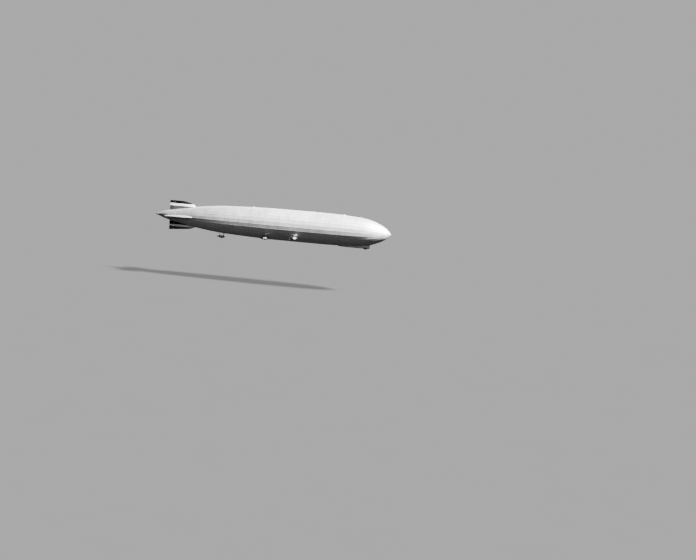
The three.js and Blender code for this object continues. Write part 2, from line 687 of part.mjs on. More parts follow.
const foreWalls = cut(join(bulkheads.slice(0, CORRIDOR_BULKHEAD)), [doorways]);
const rearWalls = cut(join(bulkheads.slice(CORRIDOR_BULKHEAD)), [way]);
placeInside("cabin_partitions_fore", join([deck(0, loungeFront), foreWalls]));
placeInside("cabin_floor", deck(loungeFront + GAP, loungeBack - GAP));
placeInside("cabin_partitions_rear", join([deck(loungeBack, FLOOR.back), rearWalls, ...corridorSides]));

// The landing bumper under the control car
const bowBumper = pad(
  at(BOW_BUMPER.station, 0, BOW_BUMPER.lowest + BOW_BUMPER.high),
  BOW_BUMPER.long,
  BOW_BUMPER.wide,
  BOW_BUMPER.high,
);
place("bumper_bow", bowBumper.subtract(cabinForm(-GAP)), "bumper");

export default ship;
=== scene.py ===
import math

import bmesh
import bpy
from mathutils import Matrix, Vector


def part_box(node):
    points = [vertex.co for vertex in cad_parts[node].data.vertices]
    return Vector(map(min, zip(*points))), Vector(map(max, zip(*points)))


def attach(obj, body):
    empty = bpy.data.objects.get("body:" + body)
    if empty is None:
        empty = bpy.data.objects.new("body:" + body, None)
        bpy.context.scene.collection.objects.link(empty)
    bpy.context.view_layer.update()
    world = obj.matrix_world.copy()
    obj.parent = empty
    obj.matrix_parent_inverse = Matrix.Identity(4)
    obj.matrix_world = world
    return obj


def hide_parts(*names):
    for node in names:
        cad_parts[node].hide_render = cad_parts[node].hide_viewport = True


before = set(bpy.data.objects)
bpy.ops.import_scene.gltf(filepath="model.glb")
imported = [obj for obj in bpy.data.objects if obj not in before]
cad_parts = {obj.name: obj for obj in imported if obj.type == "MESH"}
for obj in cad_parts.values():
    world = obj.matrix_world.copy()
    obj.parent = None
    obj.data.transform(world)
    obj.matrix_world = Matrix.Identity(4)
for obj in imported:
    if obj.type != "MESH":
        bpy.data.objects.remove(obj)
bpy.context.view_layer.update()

METRE = 0.1  # a metre of the real ship, in the model
ORIGIN = 104.6  # the origin, as a station
GIRDERS = 28
GORE = 2 * math.pi / GIRDERS

# The hull: each row is (station, radius at the corners).
HULL = [
    (0, 0), (2, 2.9), (5, 5.6), (10, 8.4), (20, 12.1), (30, 13.6), (45, 14.65), (60, 15.15), (90, 15.25),
    (120, 15.15), (150, 14.15), (170, 13.1), (190, 10.8), (205, 8.1), (215, 6.3), (225, 4.2), (232, 1.9),
    (236.6, 0),
]
SKIN = 0.1
BAY = 5.0  # between rings
MAIN_BAYS = 3.0  # bays between main rings
FIRST_RING = 1.6
SAG = 0.05  # how far the cover sinks between its girders and rings
SECTIONS = ["envelope_" + name for name in ("bow", "1", "2", "3", "4", "5", "6", "7", "stern")]

# The fins' leading edges: each row is (station, distance from the axis).
FIN_EDGE = [(190, 4.5), (195.5, 9.9), (197.9, 12.08), (200.4, 13.06), (204.2, 14.13), (208.7, 14.85)]
BOTTOM_EDGE = [(190, 4.5), (195.5, 10.45), (197.4, 11.3), (200, 12.1), (204.7, 12.8), (211.1, 13.4),
               (216.4, 13.9)]
# Heights of the stripes' edges on the upright fins.
TOP_STRIPES = (11.95, 9.8)
BOTTOM_STRIPES = (-8.85, -10.8)
HINGE = 217.6
TRAILING = 222.2
# Each fin: name, quarter turns about the axis from the top to port, leading edge, tip at the hinge and at
# the trailing edge, hinge plates' distances from the axis, the moving piece.
FINS = [
    ("fin_top", 0, FIN_EDGE, 14.88, 14.65, (7.6, 10.6, 13.6), "rudder_top"),
    ("fin_port", 1, FIN_EDGE, 14.95, 14.7, (7.6, 10.6, 13.6), "elevator_port"),
    ("fin_bottom", 2, BOTTOM_EDGE, 13.95, 14.41, (7.6, 10.2, 12.8), "rudder_bottom"),
    ("fin_starboard", 3, FIN_EDGE, 14.95, 14.7, (7.6, 10.6, 13.6), "elevator_starboard"),
]

# Each engine car: name, station, Y and Z of its middle, the hatch's station and degrees below horizontal,
# and the rows of its shell where the pale sheet begins and ends; ahead and behind, it is near black as
# painted shade.
ENGINE_CARS = [
    ("fore_port", 91, 14.3, -10.95, 88.9, 27, (7, 21)),
    ("fore_starboard", 91, -14.3, -10.95, 88.9, 27, (7, 21)),
    ("aft_port", 121, 11.9, -13.5, 119, 38, (4, 22)),
    ("aft_starboard", 121, -11.9, -13.5, 119, 38, (4, 22)),
    ("stern", 168, 0, -16.75, 165.3, 90, (6, 22)),
]
# A car's outline: each row is (distance ahead of its middle, radius).
CAR_OUTLINE = [(3.6, 0.82), (3.1, 1.02), (2.2, 1.2), (0.7, 1.28), (-1, 1.12), (-2.4, 0.78), (-3.5, 0.34)]
CAR_WIDE = 0.9
CAR_TALL = 1.04
# A blade: each row is (distance from the shaft, chord, thickness, pitch in degrees).
BLADE = [(0.1, 0.2, 0.14, 60), (0.45, 0.24, 0.09, 48), (0.85, 0.3, 0.06, 36), (1.3, 0.25, 0.04, 27),
         (1.6, 0.16, 0.025, 23), (1.7, 0.05, 0.015, 22)]

# The cabin's plan: each row is (station, half width).
CABIN_PLAN = [(19.3, 0.85), (19.75, 1.6), (20.7, 2.3), (22.2, 2.8), (24.2, 3), (40, 3), (43.2, 2.66),
              (46.2, 1.95), (48.6, 1.05), (50.2, 0.25)]
# Its side windows: each row is (front, back, sill, lintel, panes).
SIDE_WINDOWS = [
    (24.7, 26.1, -14.35, -13.35, 2),
    (26.35, 27.5, -14.35, -13.35, 2),
    (30.9, 32.9, -14.5, -13.75, 3),
    (33.4, 35.4, -14.5, -13.9, 3),
    (37.1, 38.1, -14.75, -14.2, 2),
    (39, 40, -14.8, -14.3, 2),
    (40.9, 41.9, -14.85, -14.4, 2),
]
FRONT_WINDOW = (-14.45, -13.05, 0.1)  # sill, lintel, post
DOOR = (28.2, 29.1, -14.8, -13.35)  # front, back, sill, lintel
DOOR_WINDOW = (28.45, 28.85, -14.2, -13.65)

AXIS = Vector((1, 0, 0))
PORT = Vector((0, 1, 0))
UP = Vector((0, 0, 1))


def at(station, y, z):
    """A point of the ship, from the frame's origin."""
    return Vector((ORIGIN - station, y, z))


def outwards(angle):
    """The way out from the axis, at an angle from the top towards port."""
    return Vector((0, math.sin(angle), math.cos(angle)))


def clamp(value, low=0.0, high=1.0):
    return min(max(value, low), high)


def lerp(a, b, share):
    return a + (b - a) * share


def spread(low, high, steps):
    """Evenly spaced numbers from low to high, with both."""
    return [lerp(low, high, k / steps) for k in range(steps + 1)]


def turns(count, first=0.0):
    """Angles evenly around a circle."""
    return [2 * math.pi * (i + first) / count for i in range(count)]


def curve_through(rows, x):
    """A smooth line through rows of (x, y), which may fall or rise in x."""
    if rows[0][0] > rows[-1][0]:
        rows = rows[::-1]
    last = len(rows) - 1
    i = next((k for k in range(last) if x < rows[k + 1][0]), last - 1)

    def slope(k):
        a, b = rows[max(k - 1, 0)], rows[min(k + 1, last)]
        return (b[1] - a[1]) / (b[0] - a[0])

    width = rows[i + 1][0] - rows[i][0]
    u = clamp((x - rows[i][0]) / width)
    return (
        (2 * u**3 - 3 * u**2 + 1) * rows[i][1]
        + (u**3 - 2 * u**2 + u) * width * slope(i)
        + (3 * u**2 - 2 * u**3) * rows[i + 1][1]
        + (u**3 - u**2) * width * slope(i + 1)
    )


def straight_through(rows, x):
    """A broken line through rows of (x, y) that rise in x."""
    for (x0, y0), (x1, y1) in zip(rows, rows[1:]):
        if x <= x1:
            return lerp(y0, y1, clamp((x - x0) / (x1 - x0)))
    return rows[-1][1]


HULL_SQUARES = [(station, radius**2) for station, radius in HULL]


def hull_radius(station):
    return math.sqrt(max(curve_through(HULL_SQUARES, station), 0))


def on_skin(station, angle, out=0.0):
    """A point on the flat-sided skin, or off it by a distance."""
    radius = hull_radius(station) * math.cos(GORE / 2) / math.cos(angle % GORE - GORE / 2) + out
    return at(station, radius * math.sin(angle), radius * math.cos(angle))


def place_on_skin(station, angle):
    """A place on the hull: the point, the way out, the way forward and the way across."""
    point = on_skin(station, angle)
    forward = (on_skin(station - 0.5, angle) - on_skin(station + 0.5, angle)).normalized()
    out = outwards(angle)
    out = (out - forward * out.dot(forward)).normalized()
    return point, out, forward, out.cross(forward)


def across(normal):
    """Two directions across a normal."""
    one = normal.cross(AXIS if abs(normal.x) < 0.9 else UP).normalized()
    return one, normal.cross(one).normalized()


def hoop(middle, normal, radius, sides):
    """Points around a circle about a normal."""
    one, two = across(normal)
    return [middle + (one * math.cos(a) + two * math.sin(a)) * radius for a in turns(sides)]


def circle(wide, tall, sides):
    """Points of an ellipse, as (sideways, upwards)."""
    return [(wide * math.cos(a), tall * math.sin(a)) for a in turns(sides)]


def rounded(wide, tall, corner, steps=4):
    """Points of a rectangle with rounded corners, as (sideways, upwards)."""
    points = []
    for quarter in range(4):
        sx = 1 if quarter in (0, 3) else -1
        sy = 1 if quarter in (0, 1) else -1
        for a in spread(math.pi / 2 * quarter, math.pi / 2 * (quarter + 1), steps):
            points.append((sx * (wide / 2 - corner) + corner * math.cos(a),
                           sy * (tall / 2 - corner) + corner * math.sin(a)))
    return points


def soft_bar(wide, deep):
    """A bar's section, with its edges rounded."""
    return rounded(wide, deep, min(wide, deep) * 0.3, 2)


def turned(rows, sides=32, y=0.0, z=0.0):
    """Rings about a line along the ship, from rows of (station, radius)."""
    return [[at(station, y + a, z + b) for a, b in circle(max(radius, 0.002), max(radius, 0.002), sides)]
            for station, radius in rows]


def add_object(name, data):
    """An object of the scene."""
    made = bpy.data.objects.new(name, data)
    bpy.context.scene.collection.objects.link(made)
    return made


class Form:
    """The points and faces of one piece, gathered from its shapes. A look is a material's number."""

    def __init__(self):
        self.points, self.faces, self.looks = [], [], []

    def loft(self, rings, look=0, caps=(True, True), round_trip=False):
        """A skin between rings of points, closed at its ends, or joined end to end."""
        first = len(self.points)
        count = len(rings[0])
        faces = []
        for k in range(len(rings) - (0 if round_trip else 1)):
            one, two = k * count, (k + 1) % len(rings) * count
            for i in range(count):
                j = (i + 1) % count
                faces.append([one + i, one + j, two + j, two + i])
        if caps[0] and not round_trip:
            faces.append(list(range(count)))
        if caps[1] and not round_trip:
            faces.append(list(range((len(rings) - 1) * count, len(rings) * count)))
        self.points += [p for ring in rings for p in ring]
        self.faces += [[first + i for i in face] for face in faces]
        self.looks += [look] * len(faces)

    def sweep(self, path, section, look=0, up=UP, closed=False):
        """A section of (sideways, upwards) points, carried along a path."""
        rings = []
        count = len(path)
        for k, point in enumerate(path):
            after = path[(k + 1) % count] if closed or k < count - 1 else point
            before = path[k - 1] if closed or k > 0 else point
            one = (point - before).normalized() if (point - before).length else None
            two = (after - point).normalized() if (after - point).length else None
            one, two = one or two, two or one
            along = (one + two).normalized()
            side = along.cross(up).normalized()
            above = side.cross(along).normalized()
            # A corner widens the section, but only across the turn
            miter = 1 / max(along.dot(one), 0.5)
            turn = two - one
            wide = miter if abs(turn.dot(side)) > 1e-6 else 1.0
            tall = miter if abs(turn.dot(above)) > 1e-6 else 1.0
            rings.append([point + side * a * wide + above * b * tall for a, b in section])
        self.loft(rings, look, round_trip=closed)

    def tube(self, path, radius, look=0, sides=8, up=UP):
        self.sweep(path, circle(radius, radius, sides), look, up)

    def bar(self, start, end, normal, wide, deep, look=0):
        """A bar, its middle on a line and its depth along the normal."""
        self.sweep([start, end], soft_bar(wide, deep), look, normal)

    def border(self, corners, normal, wide, deep, look=0):
        """A mitred frame through its corners."""
        self.sweep(corners, soft_bar(wide, deep), look, normal, closed=True)

    def ring(self, middle, normal, radius, thick, look=0, sides=24):
        """A round bead about a normal."""
        self.sweep(hoop(middle, normal, radius, sides), circle(thick, thick, 8), look, normal, closed=True)

    def disc(self, middle, normal, radius, thick, look=0, sides=24):
        """A flat round plate that starts at its middle and grows along its normal."""
        self.slab(hoop(middle, normal, radius, sides), normal * thick, look)

    def dome(self, middle, normal, along, long, wide, high, look=0, sides=20, steps=6, sunk=0.0):
        """A rounded hump, its long way along a line and its foot sunk."""
        side = normal.cross(along).normalized()
        rings = []
        for turn in spread(0, math.pi / 2, steps):
            share, rise = max(math.cos(turn), 0.02), math.sin(turn) * high - (0 if turn else sunk)
            rings.append([middle + along * a * share + side * b * share + normal * rise
                          for a, b in circle(long, wide, sides)])
        self.loft(rings, look)

    def slab(self, outline, depth, look=0):
        """A flat outline of points, made thick by a vector."""
        self.loft([outline, [p + depth for p in outline]], look)

    def block(self, front, back, y, z, wide, tall, look=0, corner=0.02):
        """A block with rounded long edges, its middle at Y and Z."""
        corner = min(corner, wide * 0.3, tall * 0.3)
        self.sweep([at(front, y, z), at(back, y, z)], rounded(wide, tall, corner, 2), look)

    def place(self, name, materials, slot, body="ship", replaces=(), crease=35.0):
        """The finished piece, shaded smooth where its faces meet at less than the crease angle."""
        mesh = bpy.data.meshes.new(name)
        mesh.from_pydata([p * METRE for p in self.points], [], self.faces)
        for material in materials:
            mesh.materials.append(material)
        mesh.polygons.foreach_set("material_index", self.looks)
        work = bmesh.new()
        work.from_mesh(mesh)
        bmesh.ops.remove_doubles(work, verts=work.verts, dist=1e-6)
        bmesh.ops.recalc_face_normals(work, faces=work.faces)
        for face in work.faces:
            face.smooth = True
        for edge in work.edges:
            edge.smooth = len(edge.link_faces) == 2 and edge.calc_face_angle() < math.radians(crease)
        work.to_mesh(mesh)
        work.free()
        piece = add_object(name, mesh)
        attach(piece, body)
        if replaces:
            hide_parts(*replaces)
        return piece


# Camera, in the model's metres: 97 m off the starboard bow and a little above, as in the photograph
PICTURE_WIDTH, SENSOR_WIDTH, FOCAL_PIXELS = 696, 36, 1000
camera = add_object("camera", bpy.data.cameras.new("camera"))
camera.location = (23.3178, -94.4776, 8.6665)
camera.rotation_euler = [math.radians(a) for a in (82.0168, -4.2599, 10.5888)]
camera.data.sensor_width = SENSOR_WIDTH
camera.data.lens = SENSOR_WIDTH * FOCAL_PIXELS / PICTURE_WIDTH
camera.data.clip_end = 8000
bpy.context.scene.camera = camera


# Materials


def give(tree, socket, value):
    """A socket linked to another, or set to a plain value."""
    if isinstance(value, bpy.types.NodeSocket):
        tree.links.new(value, socket)
    else:
        socket.default_value = value


def add_node(tree, kind, inputs=None, **settings):
    """A node with its settings made and its sockets given."""
    made = tree.nodes.new("ShaderNode" + kind)
    for name, value in settings.items():
        setattr(made, name, value)
    for name, value in (inputs or {}).items():
        give(tree, made.inputs[name], value)
    return made


def maths(tree, operation, *values):
    return add_node(tree, "Math", dict(enumerate(values)), operation=operation).outputs[0]


def product(tree, one, two):
    return maths(tree, "MULTIPLY", one, two)


def vectors(tree, operation, *values):
    return add_node(tree, "VectorMath", dict(enumerate(values)), operation=operation).outputs


def ramp(tree, value, low, high, to_low=0.0, to_high=1.0):
    """The value's place between low and high, smoothed, as a number from to_low to to_high."""
    inputs = {"Value": value, "From Min": low, "From Max": high, "To Min": to_low, "To Max": to_high}
    return add_node(tree, "MapRange", inputs, interpolation_type="SMOOTHSTEP").outputs[0]


def scaled(tree, value, low, high):
    """A 0 to 1 value as a number from low to high."""
    return add_node(tree, "MapRange", {"Value": value, "To Min": low, "To Max": high}).outputs[0]


def blend(tree, share, one, two):
    """Two colours mixed."""
    made = add_node(tree, "Mix", data_type="RGBA")
    for name, value in (("Factor_Float", share), ("A_Color", one), ("B_Color", two)):
        give(tree, next(s for s in made.inputs if s.identifier == name), value)
    return next(s for s in made.outputs if s.identifier == "Result_Color")


def grey(value, warmth=0.0):
    """A neutral colour, slightly warm or cool."""
    return (value * (1 + warmth), value, value * (1 - warmth), 1.0)


def as_grey(tree, value):
    return add_node(tree, "CombineColor", {0: value, 1: value, 2: value}).outputs[0]


def darken(tree, colour, mask, share):
    """A colour made darker where a mask is 1, by a share of itself."""
    return blend(tree, product(tree, mask, share), colour, grey(0.0))


def place_coordinates(tree, stretch=(1, 1, 1)):
    """Coordinates on the piece itself, in the model's metres, stretched."""
    where = add_node(tree, "TexCoord").outputs["Object"]
    if stretch == (1, 1, 1):
        return where
    return add_node(tree, "Mapping", {"Vector": where, "Scale": stretch}).outputs[0]


def place_axes(tree):
    """The same coordinates, as X, Y and Z."""
    return add_node(tree, "SeparateXYZ", {0: place_coordinates(tree)}).outputs


def noise(tree, scale, detail=3.0, stretch=(1, 1, 1), roughness=0.55):
    inputs = {"Vector": place_coordinates(tree, stretch), "Scale": scale, "Detail": detail,
              "Roughness": roughness}
    return add_node(tree, "TexNoise", inputs).outputs["Fac"]


def bands(tree, direction, scale, stretch=(1, 1, 1), distortion=0.0, detail=2.0):
    """Waves across a direction, from 0 to 1."""
    inputs = {"Vector": place_coordinates(tree, stretch), "Scale": scale, "Distortion": distortion,
              "Detail": detail}
    return add_node(tree, "TexWave", inputs, bands_direction=direction).outputs["Fac"]


def effect(name, inputs, outputs):
    """A shader node group: its tree, and the sockets inside it by name."""
    group = bpy.data.node_groups.new(name, "ShaderNodeTree")
    for label, default in inputs.items():
        kind = "NodeSocketVector" if isinstance(default, tuple) else "NodeSocketFloat"
        group.interface.new_socket(label, in_out="INPUT", socket_type=kind).default_value = default
    for label in outputs:
        group.interface.new_socket(label, in_out="OUTPUT", socket_type="NodeSocketFloat")
    return group, group.nodes.new("NodeGroupInput").outputs, group.nodes.new("NodeGroupOutput").inputs


def use(tree, group, **inputs):
    """An effect placed in a material, with its outputs by name."""
    made = tree.nodes.new("ShaderNodeGroup")
    made.node_tree = group
    for name, value in inputs.items():
        give(tree, made.inputs[name], value)
    return made.outputs


def laced_panels():
    """The hull's cover: a tone for each laced panel, and its girders and rings as masks."""
    tree, given, out = effect("laced panels", {"Line": 0.012}, ["Tone", "Girders", "Rings", "Main rings"])
    x, y, z = place_axes(tree)
    gores = maths(tree, "DIVIDE", maths(tree, "ARCTAN2", y, z), GORE)
    squares = maths(tree, "ADD", product(tree, y, y), product(tree, z, z))
    wide_gore = product(tree, maths(tree, "SQRT", squares), GORE)
    behind = maths(tree, "SUBTRACT", (ORIGIN - FIRST_RING) * METRE, x)
    bays = maths(tree, "DIVIDE", behind, BAY * METRE)
    main_bays = maths(tree, "DIVIDE", bays, MAIN_BAYS)

    def line(count, wide):
        """A mask of the lines at each whole number of a count, where one of it is so wide."""
        off = product(tree, maths(tree, "PINGPONG", count, 0.5), wide)
        return maths(tree, "SUBTRACT", 1.0, ramp(tree, off, 0.0, given["Line"]))

    def tone(*counts):
        """A chance value for each cell."""
        cell = add_node(tree, "CombineXYZ", dict(enumerate(counts))).outputs[0]
        return add_node(tree, "TexWhiteNoise", {"Vector": cell}).outputs["Value"]

    gore, bay, main_bay = [maths(tree, "FLOOR", count) for count in (gores, bays, main_bays)]
    both = maths(tree, "ADD", tone(gore, bay), tone(gore, main_bay, 7.0))
    give(tree, out["Tone"], product(tree, both, 0.5))
    give(tree, out["Girders"], line(gores, wide_gore))
    give(tree, out["Rings"], line(bays, BAY * METRE))
    give(tree, out["Main rings"], line(main_bays, MAIN_BAYS * BAY * METRE))
    return tree


def weather():
    """Dirt that runs aft in streaks, blotches of sun and rain, and specks."""
    # Each mask: name, stretch, scale, detail, the noise's values where it begins and is full.
    masks = [
        ("Streaks", (0.12, 1, 1), 9.0, 4.0, 0.42, 0.72),
        ("Blotches", (1, 1, 1), 1.6, 5.0, 0.35, 0.68),
        ("Specks", (1, 1, 1), 60.0, 3.0, 0.55, 0.7),
    ]
    tree, given, out = effect("weather", {"Scale": 1.0}, [name for name, *_ in masks])
    for name, stretch, scale, detail, low, high in masks:
        cloud = noise(tree, product(tree, given["Scale"], scale), detail, stretch, 0.5)
        give(tree, out[name], ramp(tree, cloud, low, high))
    return tree


def weave():
    """The height of a plain-woven cloth."""
    tree, given, out = effect("weave", {"Threads": 900.0}, ["Height"])
    warp, rise, weft = [bands(tree, direction, given["Threads"], distortion=0.6) for direction in "XZY"]
    give(tree, out["Height"], product(tree, warp, maths(tree, "ADD", rise, weft)))
    return tree


def edge_wear():
    """Masks of the edges that are rubbed bare, and of the hollows and inner corners where shade is painted.
    """
    tree, given, out = effect("edge wear", {"Amount": 0.5}, ["Bare", "Hollow shade"])
    point = add_node(tree, "NewGeometry").outputs["Pointiness"]
    rubbed = product(tree, ramp(tree, point, 0.505, 0.56), noise(tree, 40.0, 4.0))
    give(tree, out["Bare"], product(tree, rubbed, product(tree, given["Amount"], 2.0)))
    # Painted shade in the hollows, where pointiness is low
    give(tree, out["Hollow shade"], ramp(tree, point, 0.495, 0.44))
    return tree


def stain():
    """A stain about a point, fading over its reach, broken up by noise."""
    tree, given, out = effect("stain", {"Centre": (0.0, 0.0, 0.0), "Reach": (1.0, 1.0, 1.0)}, ["Mask"])
    off = vectors(tree, "SUBTRACT", place_coordinates(tree), given["Centre"])[0]
    share = vectors(tree, "DIVIDE", off, given["Reach"])[0]
    far = vectors(tree, "LENGTH", share)["Value"]
    patches = ramp(tree, noise(tree, 7.0, 5.0, (0.25, 1, 1)), 0.25, 0.75)
    give(tree, out["Mask"], product(tree, ramp(tree, far, 1.0, 0.15), patches))
    return tree


PANELS, WEATHER, WEAVE, WEAR, STAIN = laced_panels(), weather(), weave(), edge_wear(), stain()


def start(name):
    material = bpy.data.materials.new(name)
    material.use_nodes = True
    material.node_tree.nodes.clear()
    return material, material.node_tree


def weathered(name, scale):
    """A material that has just been started, and its dirt."""
    material, tree = start(name)
    return material, tree, use(tree, WEATHER, Scale=scale)


def shade(tree, colour, roughness, metallic=0.0, height=None, depth=0.001, **shine):
    """The material's shader, from sockets or plain values. Depth is the height's reach in metres."""
    inputs = {"Base Color": colour, "Roughness": roughness, "Metallic": metallic, **shine}
    if height is not None:
        bump = add_node(tree, "Bump", {"Height": height, "Distance": depth, "Strength": 1.0})
        inputs["Normal"] = bump.outputs[0]
    shader = add_node(tree, "BsdfPrincipled", inputs)
    give(tree, add_node(tree, "OutputMaterial").inputs["Surface"], shader.outputs[0])


BLACK_STRIPE, WHITE_STRIPE, DARK_STRIPE = grey(0.004), grey(0.9), grey(0.055)
AFT_SHADE_FRONT, AFT_SHADE_BACK = 60, 232  # the stations between which painted shade darkens the hull's upper side towards the tail
# Lengths in the model's metres: the height where that painted shade ends, and how far a stain reaches
AFT_SHADE_LOW = -0.35
STAIN_REACH = (1.3, 0.28, 0.28)
STAIN_SPOT = (11, 0.92, 0.9)  # how far behind a car's station, and its shares of the car's Y and Z


def stripes(tree):
    """The colours of the upright fins: three stripes, one below the other."""
    height = place_axes(tree)[2]

    def above(edge, high, low):
        return blend(tree, maths(tree, "GREATER_THAN", height, edge * METRE), low, high)

    top, bottom = [above(high, BLACK_STRIPE, above(low, WHITE_STRIPE, DARK_STRIPE))
                   for high, low in (TOP_STRIPES, BOTTOM_STRIPES)]
    return above(0.0, top, bottom)


def doped_cover(name, tone, metallic=0.8, panels=True, striped=False, soot_and_shade=True):
    """Aluminium-doped cotton, with its panels' tones, dirt, exhaust stains behind the cars, painted shade
    on its upper side towards the tail, and stripes on a fin.
    """
    material, tree, dirt = weathered(name, 1.0)
    lines = use(tree, PANELS, Line=0.02)
    colour = as_grey(tree, scaled(tree, lines["Tone"], tone * 0.84, tone * 1.06))
    if striped:
        colour = stripes(tree)
    if panels:
        # The girder lines are darker partly for their lacing and partly as painted shade of the cover's
        # slope beside each girder
        for mask, share in (("Girders", 0.3), ("Rings", 0.22), ("Main rings", 0.25)):
            colour = darken(tree, colour, lines[mask], share)
    for mask, share in (("Streaks", 0.12), ("Blotches", 0.08), ("Specks", 0.05)):
        colour = darken(tree, colour, dirt[mask], share)
    if soot_and_shade:
        # Painted shade: darker towards the tail above a height, then exhaust stains behind each car
        along, _, height = place_axes(tree)
        aft = ramp(tree, along, (ORIGIN - AFT_SHADE_FRONT) * METRE, (ORIGIN - AFT_SHADE_BACK) * METRE)
        colour = darken(tree, colour, product(tree, aft, ramp(tree, height, AFT_SHADE_LOW, 0.0)), 0.5)
        behind, share_y, share_z = STAIN_SPOT
        for _, station, y, z, *_ in ENGINE_CARS:
            centre = at(station + behind, y * share_y, z * share_z) * METRE
            mark = use(tree, STAIN, Centre=tuple(centre), Reach=STAIN_REACH)
            colour = darken(tree, colour, mark["Mask"], 0.45)
    cloth = use(tree, WEAVE, Threads=700.0)
    shade(tree, colour, scaled(tree, dirt["Blotches"], 0.5, 0.62), metallic, cloth["Height"], 0.00006,
          **{"Specular IOR Level": 0.06 if striped else 0.5})
    return material


def sheet_metal(name, tone, metallic=0.35, wear=0.5, painted_shade_below=None):
    """Painted sheet, rubbed bare at its edges, with painted shade in its hollows, and painted shade below a
    height if one is given.
    """
    material, tree, dirt = weathered(name, 5.0)
    edges = use(tree, WEAR, Amount=wear)
    colour = as_grey(tree, scaled(tree, dirt["Blotches"], tone * 1.04, tone * 0.84))
    colour = blend(tree, product(tree, dirt["Streaks"], 0.25), colour, grey(tone * 0.4, 0.04))
    # Painted shade: near black in the hollows and inner corners
    colour = blend(tree, product(tree, edges["Hollow shade"], 0.6), colour, grey(0.04))
    colour = blend(tree, edges["Bare"], colour, grey(min(tone * 1.5, 0.9)))
    # Painted shade: much darker below this height
    if painted_shade_below is not None:
        low = maths(tree, "LESS_THAN", place_axes(tree)[2], painted_shade_below * METRE)
        colour = darken(tree, colour, low, 0.8)
    shade(tree, colour, scaled(tree, dirt["Streaks"], 0.3, 0.48), metallic, noise(tree, 30.0, 2.0), 0.0006)
    return material


def dark_iron(name, tone=0.05):
    """Oily castings and steel fittings."""
    material, tree, dirt = weathered(name, 12.0)
    colour = as_grey(tree, scaled(tree, dirt["Blotches"], tone * 0.7, tone * 1.5))
    colour = blend(tree, use(tree, WEAR, Amount=0.8)["Bare"], colour, grey(0.35))
    shade(tree, colour, scaled(tree, dirt["Blotches"], 0.3, 0.6), 0.6, noise(tree, 220.0, 4.0), 0.0004)
    return material


def radiator_core():
    """A dull honeycomb core behind its shutters."""
    material, tree = start("radiator core")
    _, y, z = place_axes(tree)
    cells = [maths(tree, "PINGPONG", product(tree, v, 160.0), 0.5) for v in (y, z)]
    comb = ramp(tree, maths(tree, "MINIMUM", *cells), 0.05, 0.2)
    colour = blend(tree, comb, grey(0.07, 0.05), grey(0.01))
    shade(tree, colour, 0.5, 0.7, maths(tree, "SUBTRACT", 1.0, comb), 0.001)
    return material


def laminated_wood():
    """Laminations gone dull with weather and oil."""
    material, tree = start("laminated wood")
    dark = (0.012, 0.008, 0.005, 1)
    rings = bands(tree, "X", 60.0, (1, 0.4, 0.4), 4.0, 3.0)
    fine = noise(tree, 300.0, 4.0, (1, 0.1, 0.1))
    colour = blend(tree, rings, dark, (0.026, 0.017, 0.011, 1))
    colour = blend(tree, product(tree, fine, 0.35), colour, dark)
    shade(tree, colour, scaled(tree, fine, 0.65, 0.8), 0.0, fine, 0.0001, **{"Specular IOR Level": 0.15})
    return material


def dusty_canvas():
    """Rubberised canvas of the landing bumpers."""
    material, tree, dirt = weathered("dusty canvas", 14.0)
    cloth = use(tree, WEAVE, Threads=450.0)
    facing = add_node(tree, "SeparateXYZ", {0: add_node(tree, "NewGeometry").outputs["Normal"]}).outputs[2]
    dust = product(tree, ramp(tree, facing, -0.3, 0.9), dirt["Blotches"])
    colour = blend(tree, dust, grey(0.03, 0.03), grey(0.11, 0.06))
    colour = blend(tree, product(tree, dirt["Specks"], 0.3), colour, grey(0.16, 0.05))
    height = maths(tree, "ADD", cloth["Height"], product(tree, noise(tree, 60.0), 3.0))
    shade(tree, colour, scaled(tree, dirt["Blotches"], 0.7, 0.95), 0.0, height, 0.0005)
    return material


def clear_glass():
    """Thin panes, a little dusty."""
    material, tree, dirt = weathered("clear glass", 8.0)
    roughness = scaled(tree, dirt["Blotches"], 0.03, 0.12)
    shade(tree, grey(0.75, -0.03), roughness, 0.0, noise(tree, 20.0), 0.0003,
          **{"IOR": 1.45, "Alpha": 0.32, "Specular IOR Level": 0.8})
    return material


def cabin_boards(name, light, dark):
    """Thin varnished boards of the cabin's inside."""
    material, tree = start(name)
    grain = bands(tree, "Z", 22.0, (0.3, 1, 1), 6.0, 4.0)
    fine = noise(tree, 150.0, 3.0, (0.2, 1, 1))
    shade(tree, blend(tree, grain, light, dark), scaled(tree, fine, 0.4, 0.6), 0.0, fine, 0.0002)
    return material


def lamp_glass(name, colour, glow):
    """A small lamp's lens."""
    material, tree = start(name)
    ribs = bands(tree, "Z", 200.0)
    dim = tuple(c * 0.6 for c in colour[:3]) + (1,)
    shade(tree, blend(tree, ribs, colour, dim), 0.1, 0.0, ribs, 0.0003,
          **{"Emission Color": colour, "Emission Strength": glow})
    return material


skin = doped_cover("doped cover", 0.8)
# The nose's cover, shared by the ridge hoods, is lighter than the hull's, as a painted highlight
nose_skin = doped_cover("doped nose", 0.87, soot_and_shade=False)
# The flat fins' cover is much darker than the hull's, as painted shade on their upward faces
fin_plain = doped_cover("doped fin", 0.21, 0.15, panels=False, soot_and_shade=False)
fin_striped = doped_cover("striped fin", 0.78, 0.0, panels=False, striped=True, soot_and_shade=False)
car_metal = sheet_metal("car sheet", 0.52, 0.3)
hood_metal = sheet_metal("hood sheet", 0.85, 0.0, 0.1)
# Near black, as painted shade on the struts, wires, ladders, and the cars' cowls and tails
painted_shade_metal = sheet_metal("strut metal", 0.012, 0.2)
blade_tip = sheet_metal("blade tip", 0.03, 0.3, 0.3)
cabin_cover = sheet_metal("cabin cover", 0.62, 0.1, 0.3)
